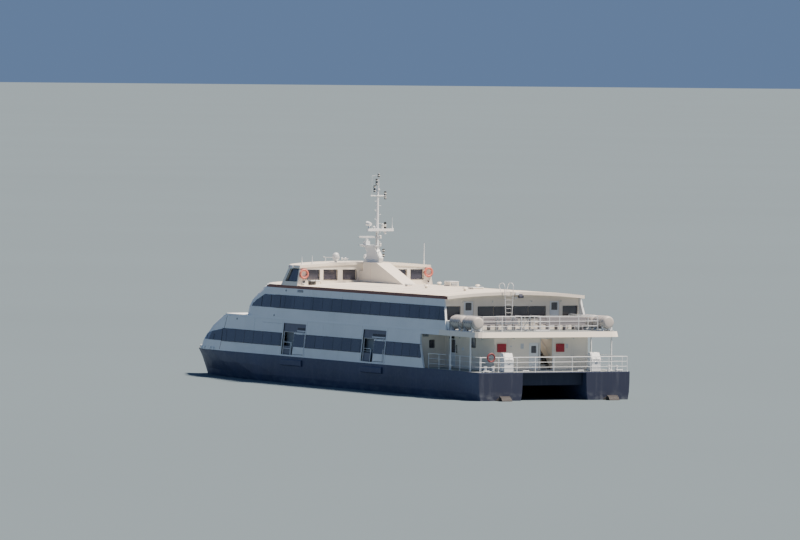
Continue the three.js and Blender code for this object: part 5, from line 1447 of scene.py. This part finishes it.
class FERRY_OT_aft_walls(PieceOperator, bpy.types.Operator):
    """Glass and frames of the aft windows, and the fittings of the aft walls and doors."""

    bl_idname = "ferry.aft_walls"
    bl_label = "Aft walls"

    PANE_START, PANE_PITCH = -2.77, 1.39
    # boxes on the lower wall: across, up
    CABINETS = (((2.86, 3.54), (3.36, 3.94)), ((-1.82, -1.18), (3.34, 3.92)))
    NOTICES = (((1.41, 1.66), (3.58, 3.95)), ((-2.15, -1.95), (3.6, 3.9)), ((2.35, 2.5), (3.72, 3.8)))

    def upper(self):
        bm = bmesh.new()
        glass, face = on_x(AFT_WALL_X + 0.04), on_x(AFT_WALL_X - 0.001)
        joints = [self.PANE_START + i * self.PANE_PITCH for i in range(5)]
        openings = [((low + 0.04, high - 0.08), (5.6, 6.4)) for low, high in zip(joints, joints[1:])]
        openings += [((4.16, 5.3), (5.48, 6.42)), ((-5.3, -4.16), (5.48, 6.42))]
        for u, v in openings:
            pane(bm, (u[0] + 0.003, u[1] - 0.003), (v[0] + 0.003, v[1] - 0.003), glass, (0.012, 0, 0), 0, 0.004)
            gasket(bm, u, v, face, (-0.01, 0, 0), 0.03, 1, 0.004)
        for y in joints[1:-1]:
            box(bm, (AFT_WALL_X - 0.012, AFT_WALL_X - 0.001), (y - 0.08, y + 0.04), (5.6, 6.4), 0)
        # lockers under the outer windows
        for side in SIDES.values():
            y = sorted((side * 5.15, side * 5.6))
            box(bm, (-18.8, -17.76), y, (UPPER_Z + 0.01, 5.42), 2)
            box(bm, (-18.82, -17.74), (y[0] - 0.02, y[1] + 0.02), (5.42, 5.46), 2)
        for y in (1.55, -1.55, 3.95, -3.95):
            rod(bm, (AFT_WALL_X - 0.07, y, 6.78), (AFT_WALL_X - 0.001, y, 6.78), 0.07, 2, sides=16)
            ball(bm, (AFT_WALL_X - 0.07, y, 6.78), 0.06, 3, 12)
        finish_piece(bm, "upper_aft_glazing", ("window_glass", "black_rubber", "fitting_white", "lens_clear"))

    def door(self, name, x, u, v, y, z):
        """Glass and handle of a door that faces aft; the handle stands at y and z and points to the glass."""
        bm = bmesh.new()
        pane(bm, u, v, on_x(x + 0.02), (0.01, 0, 0), 0, 0.004)
        gasket(bm, u, v, on_x(x - 0.0005), (-0.008, 0, 0), 0.028, 1, 0.004)
        rod(bm, (x, y, z), (x - 0.045, y, z), 0.018, 2, sides=12)
        rod(bm, (x - 0.04, y, z), (x - 0.04, y + math.copysign(0.11, u[0] + u[1] - 2 * y), z), 0.012, 2)
        rod(bm, (x - 0.001, y, z), (x - 0.008, y, z), 0.035, 2, sides=16)
        self.finish_trim(bm, name)

    def finish_trim(self, bm, name):
        finish_piece(bm, f"{name}_trim", ("window_glass", "black_rubber", "bare_aluminium"),
                     body=name)

    def lower(self):
        x = HOUSE_AFT_X
        bm = bmesh.new()
        for (y0, y1), (z0, z1) in self.CABINETS:
            box(bm, (x - 0.1, x - 0.001), (y0, y1), (z0, z1), 0)
            box(bm, (x - 0.11, x - 0.1), (y0 + 0.02, y1 - 0.02), (z0 + 0.02, z1 - 0.02), 0)
            middle = (z0 + z1) / 2
            rod(bm, (x - 0.13, y0 + 0.07, middle), (x - 0.11, y0 + 0.07, middle), 0.022, 0, sides=14)
            for z in (z0 + 0.1, z1 - 0.1):
                rod(bm, (x - 0.108, y1 - 0.01, z - 0.04), (x - 0.108, y1 - 0.01, z + 0.04), 0.012, 0)
        finish_piece(bm, "fire_cabinets", ("cabinet_red",), bevel=0.008)
        bm = bmesh.new()
        for (y0, y1), (z0, z1) in self.NOTICES:
            box(bm, (x - 0.01, x - 0.001), (y0, y1), (z0, z1), 1)
            middle = (y0 + y1) / 2
            for z in (z0 + 0.02, z1 - 0.02):
                rod(bm, (x - 0.014, middle, z), (x - 0.01, middle, z), 0.008, 1, sides=8)
        for y in (2.2, -0.42, -2.6):
            rod(bm, (x - 0.08, y, 4.3), (x - 0.001, y, 4.3), 0.06, 0, sides=16)
            ball(bm, (x - 0.08, y, 4.3), 0.05, 2, 12)
        frame_of(bm, (x - 0.02, x - 0.001), (-0.9, 0.07), (DECK_Z + 0.08, 4.3), 0.04, 0)
        # the door swings past the hinge side, which therefore has no frame
        box(bm, (x - 0.02, x - 0.001), (0.17, 0.2), (DECK_Z + 0.11, 4.01), 0)
        box(bm, (x - 0.02, x - 0.001), (0.2, 0.93), (3.985, 4.01), 0)
        pipe(bm, [(x - 0.04, 2.7, 4.41), (x - 0.04, 2.7, 3.2), (x - 0.04, 2.7, 2.3)], 0.015, 0)
        box(bm, (x - 0.09, x - 0.001), (2.62, 2.78), (2.25, 2.45), 0)
        finish_piece(bm, "aft_bulkhead_fittings", ("fitting_white", "bare_aluminium", "lens_clear"),
                     bevel=0.004)

    def house(self):
        bm = bmesh.new()
        y, x = HOUSE_Y, HOUSE_FWD_X
        pane(bm, (-19.355, -18.595), (3.575, 4.235), on_y(y - 0.05), (0, 0.012, 0), 0, 0.08)
        gasket(bm, (-19.36, -18.59), (3.57, 4.24), on_y(y + 0.001), (0, 0.01, 0), 0.035, 1, 0.08)
        pane(bm, (4.652, 5.038), (3.412, 3.938), on_x(x + 0.05), (0.012, 0, 0), 0, 0.05)
        gasket(bm, (4.65, 5.04), (3.41, 3.94), on_x(x - 0.001), (-0.01, 0, 0), 0.03, 1, 0.05)
        louvre(bm, (x - 0.016, x - 0.001), (5.13, 5.6), (4.2, 4.38), (-1, 0, 0), 4, 2, 1)
        frame_of(bm, (-16.25, -15.35), (y + 0.001, y + 0.012), (2.13, 4.05), 0.035, 2)
        box(bm, (-17.6, -17.3), (y + 0.001, y + 0.02), (3.3, 3.5), 2)
        louvre(bm, (-16.12, -15.4), (y + 0.001, y + 0.014), (4.09, 4.3), (0, 1, 0), 5, 1, 1)
        pipe(bm, [(-16.55, y, 3.12), (-16.55, y + 0.07, 3.12), (-16.5, y + 0.07, 3.6), (-16.5, y, 3.62)],
             0.024, 1)
        for at in (-17.0, -20.4):
            rod(bm, (at, y + 0.001, 4.2), (at, y + 0.06, 4.2), 0.06, 2, sides=16)
            ball(bm, (at, y + 0.06, 4.2), 0.05, 3, 12)
        rod(bm, (-16.5, y + 0.05, 2.9), (-21.9, y + 0.05, 2.9), 0.018, 4)
        for at in (-16.5, -18.3, -20.1, -21.9):
            rod(bm, (at, y + 0.001, 2.9), (at, y + 0.05, 2.9), 0.012, 4)
        both_sides(bm)
        finish_piece(bm, "aft_house_fittings",
                     ("window_glass", "black_rubber", "fitting_white", "lens_clear", "bare_aluminium"))

    def walkway_door(self, side):
        bm = bmesh.new()
        face = HOUSE_Y - 0.025
        u, v = (-16.17, -15.43), (3.12, 3.99)
        pane(bm, u, v, on_y(face + 0.0005), (0, 0.008, 0), 0, 0.06)
        gasket(bm, u, v, on_y(face + 0.0005), (0, 0.01, 0), 0.02, 1, 0.06)
        rod(bm, (-16.12, face, 2.9), (-16.12, face + 0.05, 2.9), 0.018, 2, sides=12)
        rod(bm, (-16.12, face + 0.045, 2.9), (-16.0, face + 0.045, 2.9), 0.012, 2)
        to_side(bm, SIDES[side])
        self.finish_trim(bm, f"walkway_door_{side}")

    def execute(self, context):
        self.upper()
        self.lower()
        self.house()
        self.door("aft_door", HOUSE_AFT_X + 0.025, (0.42, 0.76), (3.3, 3.75), 0.3, 3.05)
        for side, sign in SIDES.items():
            u = (3.26, 3.68) if sign > 0 else (-3.68, -3.26)
            self.door(f"upper_door_{side}", AFT_WALL_X + 0.025, u, (6.18, 6.66), sign * 3.17, 5.85)
            self.walkway_door(side)
        return {"FINISHED"}


class FERRY_OT_aft_decks(PieceOperator, bpy.types.Operator):
    """Stair lining, rails and nosings, trunk lids, bollard rings, stern lifebuoy and bench slats."""

    bl_idname = "ferry.aft_decks"
    bl_label = "Aft deck fittings"

    STAIR_X, RUN, RISE, TREADS = -21.9, 0.24, 0.2, 13
    STAIR_Y = (-0.84, 0.01)
    WELL_X, WELL_Y = (-21.5, -18.6), (-1.02, 0.19)
    WELL_BARS = (5.8, 5.45, 5.1)
    BENCHES_X, BENCH_Y = (-20.75, -19.55), (1.13, 4.32)

    def stair(self):
        bm = bmesh.new()
        for i in range(self.TREADS):
            x, z = self.STAIR_X + i * self.RUN, DECK_Z + (i + 1) * self.RISE
            box(bm, (x - 0.008, x + 0.03), self.STAIR_Y, (z + 0.0005, z + 0.008), 0)
            box(bm, (x - 0.009, x - 0.001), self.STAIR_Y, (z - 0.034, z + 0.008), 0)
        for y in (self.STAIR_Y[0] - 0.005, self.STAIR_Y[1] + 0.005):
            foot, head = Vector((self.STAIR_X, y, DECK_Z + self.RISE)), Vector((-18.9, y, DECK_Z + 2.7))
            rod(bm, foot + UP * 0.85, head + UP * 0.85, 0.022, 0)
            for share in (0.03, 0.5, 0.97):
                at = foot.lerp(head, share)
                rod(bm, at, at + UP * 0.85, 0.018, 0)
            ball(bm, foot + UP * 0.85, 0.022, 0)
        finish_piece(bm, "stair_rails", ("bare_aluminium",))
        bm = bmesh.new()
        for y in ((-0.93, -0.91), (0.08, 0.1)):
            box(bm, (-22.05, -18.6), y, (DECK_Z + 0.02, 4.41), 0)
        box(bm, (-18.6, -18.58), (-0.91, 0.08), (DECK_Z + 0.02, 4.41), 0)
        finish_piece(bm, "stair_lining", ("warm_white",))
        bm = bmesh.new()
        (x0, x1), (y0, y1) = self.WELL_X, self.WELL_Y
        foot = UPPER_Z + 0.001
        for start, end, y in ((x1, x0, y0), (x0, x1, y1)):
            for z in self.WELL_BARS:
                rod(bm, (start, y, z), (end, y, z), 0.02, 0)
            for x in (start, (start + end) / 2, end):
                rod(bm, (x, y, foot), (x, y, self.WELL_BARS[0]), 0.024, 0)
                rod(bm, (x, y, foot), (x, y, foot + 0.013), 0.055, 0, sides=12)
        for z in self.WELL_BARS:
            rod(bm, (x0, y0, z), (x0, y1, z), 0.02, 0)
        # the kerb round the well
        for x, y in (((-21.56, -18.64), (-0.95, -0.905)), ((-21.56, -18.64), (0.075, 0.12)),
                     ((-21.56, -21.505), (-0.905, 0.075))):
            box(bm, x, y, (foot, UPPER_Z + 0.09), 0)
        finish_piece(bm, "stair_well_guard", ("rail_white",))

    def deck_gear(self):
        bm = bmesh.new()
        y = (3.24, 3.76)
        # a thin dark strip: painted shadow in the gap between the trunk's two parts
        box(bm, (-23.958, -23.951), y, (2.8, 2.82), 2)
        box(bm, (-23.958, -23.951), (3.4, 3.6), (2.52, 2.66), 1)
        low, high = Vector((-23.951, 3.5, 2.84)), Vector((-23.7, 3.5, 3.34))
        slope = high - low
        lid = low + slope * 0.5 + Vector((-0.02, 0, 0.01))
        block(bm, lid, (0.02, 0.62, slope.length * 0.86), 0,
              Matrix.Rotation(math.atan2(slope.x, slope.z), 4, "Y"))
        for dy in (-0.2, 0.2):
            rod(bm, lid + Vector((0.1, dy, 0.24)), lid + Vector((0.1, dy + 0.08, 0.24)), 0.018, 1)
        pipe(bm, [(-23.9, 3.42, 2.96), (-23.95, 3.42, 2.98), (-23.95, 3.58, 2.98), (-23.9, 3.58, 2.96)],
             0.01, 1)
        for y0 in (4.64, 5.26):
            hoop(bm, (-23.7, y0, DECK_Z + 0.12), 0.098, 0.012, UP, 0, steps=24, sides=6)
        for at in (5.35, 2.2):
            pipe(bm, [(-24.05, at + out, DECK_Z + rise) for out, rise in (
                (-0.22, 0.001), (-0.22, 0.1), (0.22, 0.1), (0.22, 0.001))], 0.028, 0)
        box(bm, (-23.4, -22.95), (4.55, 5.2), (DECK_Z + 0.001, DECK_Z + 0.05), 0)
        rod(bm, (-23.17, 4.87, DECK_Z + 0.05), (-23.17, 4.87, DECK_Z + 0.062), 0.2, 1, sides=24)
        both_sides(bm)
        finish_piece(bm, "aft_deck_fittings", ("fitting_white", "bare_aluminium", "dark_and_painted_shade"),
                     bevel=0.004)

    def buoy(self):
        bm = bmesh.new()
        hoop(bm, (-24.17, 5.05, 3.04), 0.28, 0.06, (1, 0, 0), 0, steps=28, sides=10)
        for y in (4.8, 5.3):
            rod(bm, (-24.1, y, 3.03), (-24.17, y, 3.03), 0.014, 1)
        finish_piece(bm, "aft_rail_lifebuoy", ("buoy_maroon", "fitting_white"))

    def benches(self):
        bm = bmesh.new()
        for x in self.BENCHES_X:
            for i in range(4):
                at = x + 0.03 + i * 0.11
                box(bm, (at, at + 0.085), self.BENCH_Y, (UPPER_Z + 0.441, UPPER_Z + 0.462), 0)
            for i in range(3):
                z = UPPER_Z + 0.56 + i * 0.13
                box(bm, (x + 0.001, x + 0.02), self.BENCH_Y, (z, z + 0.1), 0)
                box(bm, (x - 0.07, x - 0.051), self.BENCH_Y, (z, z + 0.1), 0)
        both_sides(bm)
        finish_piece(bm, "bench_slats", ("bench_grey",), bevel=0.006)

    def execute(self, context):
        self.stair()
        self.deck_gear()
        self.buoy()
        self.benches()
        return {"FINISHED"}


class FERRY_OT_saloons(PieceOperator, bpy.types.Operator):
    """Rows of seats, the carpet and the screens of painted shade that show through the open doorways."""

    bl_idname = "ferry.saloons"
    bl_label = "Saloon seats"

    def seats(self, bm, x, floor, reach):
        """A row across the vessel, open at the middle aisle and the two side aisles."""
        y = -reach
        while y < reach - 0.4:
            if abs(y + 0.22) > 0.55 and abs(abs(y + 0.22) - 3.3) > 0.35:
                box(bm, (x, x + 0.46), (y, y + 0.44), (floor + 0.38, floor + 0.48), 0)
                block(bm, (x - 0.05, y + 0.22, floor + 0.78), (0.09, 0.44, 0.68), 0,
                      Matrix.Rotation(math.radians(-8), 4, "Y"))
                box(bm, (x + 0.1, x + 0.16), (y + 0.18, y + 0.26), (floor + 0.012, floor + 0.38), 1)
            y += 0.5

    def execute(self, context):
        pitch = context.scene.ferry_sizes.seat_pitch
        bm = bmesh.new()
        for start, rows in ((8.0, 5), (-0.8, 5), (-13.4, 4)):
            for i in range(rows):
                self.seats(bm, start + i * pitch, DECK_Z, 4.9)
        finish_piece(bm, "saloon_seats", ("seat_blue", "bare_aluminium"), bevel=0.02)
        bm = bmesh.new()
        box(bm, (-14.5, 16.0), (-5.5, 5.5), (DECK_Z + 0.001, DECK_Z + 0.012), 0)
        finish_piece(bm, "saloon_carpet", ("carpet_grey",))
        # screens behind the doorways: their dark grey is painted shade standing for the lobbies inside
        bm = bmesh.new()
        for part in BAYS.values():
            w0, w1 = part["way"]
            box(bm, (w0 - 0.3, w1 + 0.3), (5.48, 5.51), (DECK_Z + 0.02, 4.4), 0)
        both_sides(bm)
        finish_piece(bm, "doorway_shade_screens", ("doorway_shade_grey",))
        return {"FINISHED"}


class FERRY_OT_stage(PieceOperator, bpy.types.Operator):
    """Makes the floor at the waterline, the light and the camera."""

    bl_idname = "ferry.stage"
    bl_label = "Floor, light and camera"

    FLOOR_HALF = 2500.0
    TO_SUN = (-0.30, -0.33, 0.89)
    SUN_WIDTH = math.radians(9)
    SUN_COLOUR = (1.0, 0.85, 0.70)
    SKY_COLOUR = (0.36, 0.56, 1.0, 1)
    TARGET = Vector((-0.1385, 0.0, 4.2545))
    DISTANCE = 288.39
    AZIMUTH = math.radians(242.699)
    ELEVATION = math.radians(1.566)
    ROLL = math.radians(0.604)
    LENS_MM = 354.3
    SENSOR_MM = 36.0

    def floor(self, settings):
        bm = bmesh.new()
        bmesh.ops.create_grid(bm, x_segments=1, y_segments=1, size=self.FLOOR_HALF)
        mesh = bpy.data.meshes.new("floor")
        bm.to_mesh(mesh)
        bm.free()
        s = Shader("floor_plain")
        tone = s.between(s.noise(0.02), 0.3, 0.7)
        s.set(Base_Color=s.mix(tone, rgba(settings.floor), shade(settings.floor, 0.96)), Roughness=0.9)
        mesh.materials.append(s.material)
        floor = bpy.data.objects.new("floor", mesh)
        bpy.context.scene.collection.objects.link(floor)

    def light(self, settings):
        sun = bpy.data.lights.new("key", "SUN")
        sun.energy = settings.sun_strength
        sun.angle = self.SUN_WIDTH
        sun.color = self.SUN_COLOUR
        key = bpy.data.objects.new("key", sun)
        key.rotation_euler = Vector(self.TO_SUN).to_track_quat("Z", "Y").to_euler()
        bpy.context.scene.collection.objects.link(key)
        world = bpy.data.worlds.new("fill")
        world.use_nodes = True
        background = world.node_tree.nodes["Background"]
        background.inputs["Color"].default_value = self.SKY_COLOUR
        background.inputs["Strength"].default_value = settings.sky_strength
        bpy.context.scene.world = world

    def camera(self):
        data = bpy.data.cameras.new("photo_view")
        data.lens = self.LENS_MM
        data.sensor_width = self.SENSOR_MM
        data.clip_start = 1.0
        data.clip_end = 8000.0
        a, e = self.AZIMUTH, self.ELEVATION
        back = Vector((math.sin(a) * math.cos(e), -math.cos(a) * math.cos(e), math.sin(e)))
        right = Vector((math.cos(a), math.sin(a), 0))
        up = back.cross(right)
        across = right * math.cos(self.ROLL) + up * math.sin(self.ROLL)
        upward = up * math.cos(self.ROLL) - right * math.sin(self.ROLL)
        turn = Matrix((across, upward, back)).transposed().to_4x4()
        camera = bpy.data.objects.new("photo_view", data)
        camera.matrix_world = Matrix.Translation(self.TARGET + back * self.DISTANCE) @ turn
        bpy.context.scene.collection.objects.link(camera)
        bpy.context.scene.camera = camera

    def execute(self, context):
        settings = context.scene.ferry_stage
        self.floor(settings)
        self.light(settings)
        self.camera()
        return {"FINISHED"}


class FERRY_PT_panel(bpy.types.Panel):
    """Lists the piece groups in the order that they are made."""

    bl_label = "Passenger ferry"
    bl_idname = "FERRY_PT_panel"
    bl_space_type = "VIEW_3D"
    bl_region_type = "UI"
    bl_category = "Ferry"

    def draw(self, context):
        for settings in (context.scene.ferry_colours, context.scene.ferry_sizes, context.scene.ferry_stage):
            part = self.layout.box()
            for key in settings.__annotations__:
                part.prop(settings, key)
        for operator in OPERATORS:
            self.layout.operator(operator.bl_idname)


OPERATORS = (
    FERRY_OT_finishes, FERRY_OT_hulls, FERRY_OT_side_doors, FERRY_OT_glazing, FERRY_OT_roof,
    FERRY_OT_wheelhouse, FERRY_OT_mast, FERRY_OT_rails, FERRY_OT_rafts, FERRY_OT_aft_walls,
    FERRY_OT_aft_decks, FERRY_OT_saloons, FERRY_OT_stage,
)
GROUPS = {"ferry_colours": FerryColours, "ferry_sizes": FerrySizes, "ferry_stage": FerryStage}


def register():
    for group in (*GROUPS.values(), *OPERATORS, FERRY_PT_panel):
        bpy.utils.register_class(group)
    for name, group in GROUPS.items():
        setattr(bpy.types.Scene, name, bpy.props.PointerProperty(type=group))


def unregister():
    for name in GROUPS:
        delattr(bpy.types.Scene, name)
    for group in reversed((*GROUPS.values(), *OPERATORS, FERRY_PT_panel)):
        bpy.utils.unregister_class(group)


def main():
    """Makes every piece in order."""
    register()
    for operator in OPERATORS:
        category, call = operator.bl_idname.split(".")
        getattr(getattr(bpy.ops, category), call)()


if __name__ == "__main__":
    main()
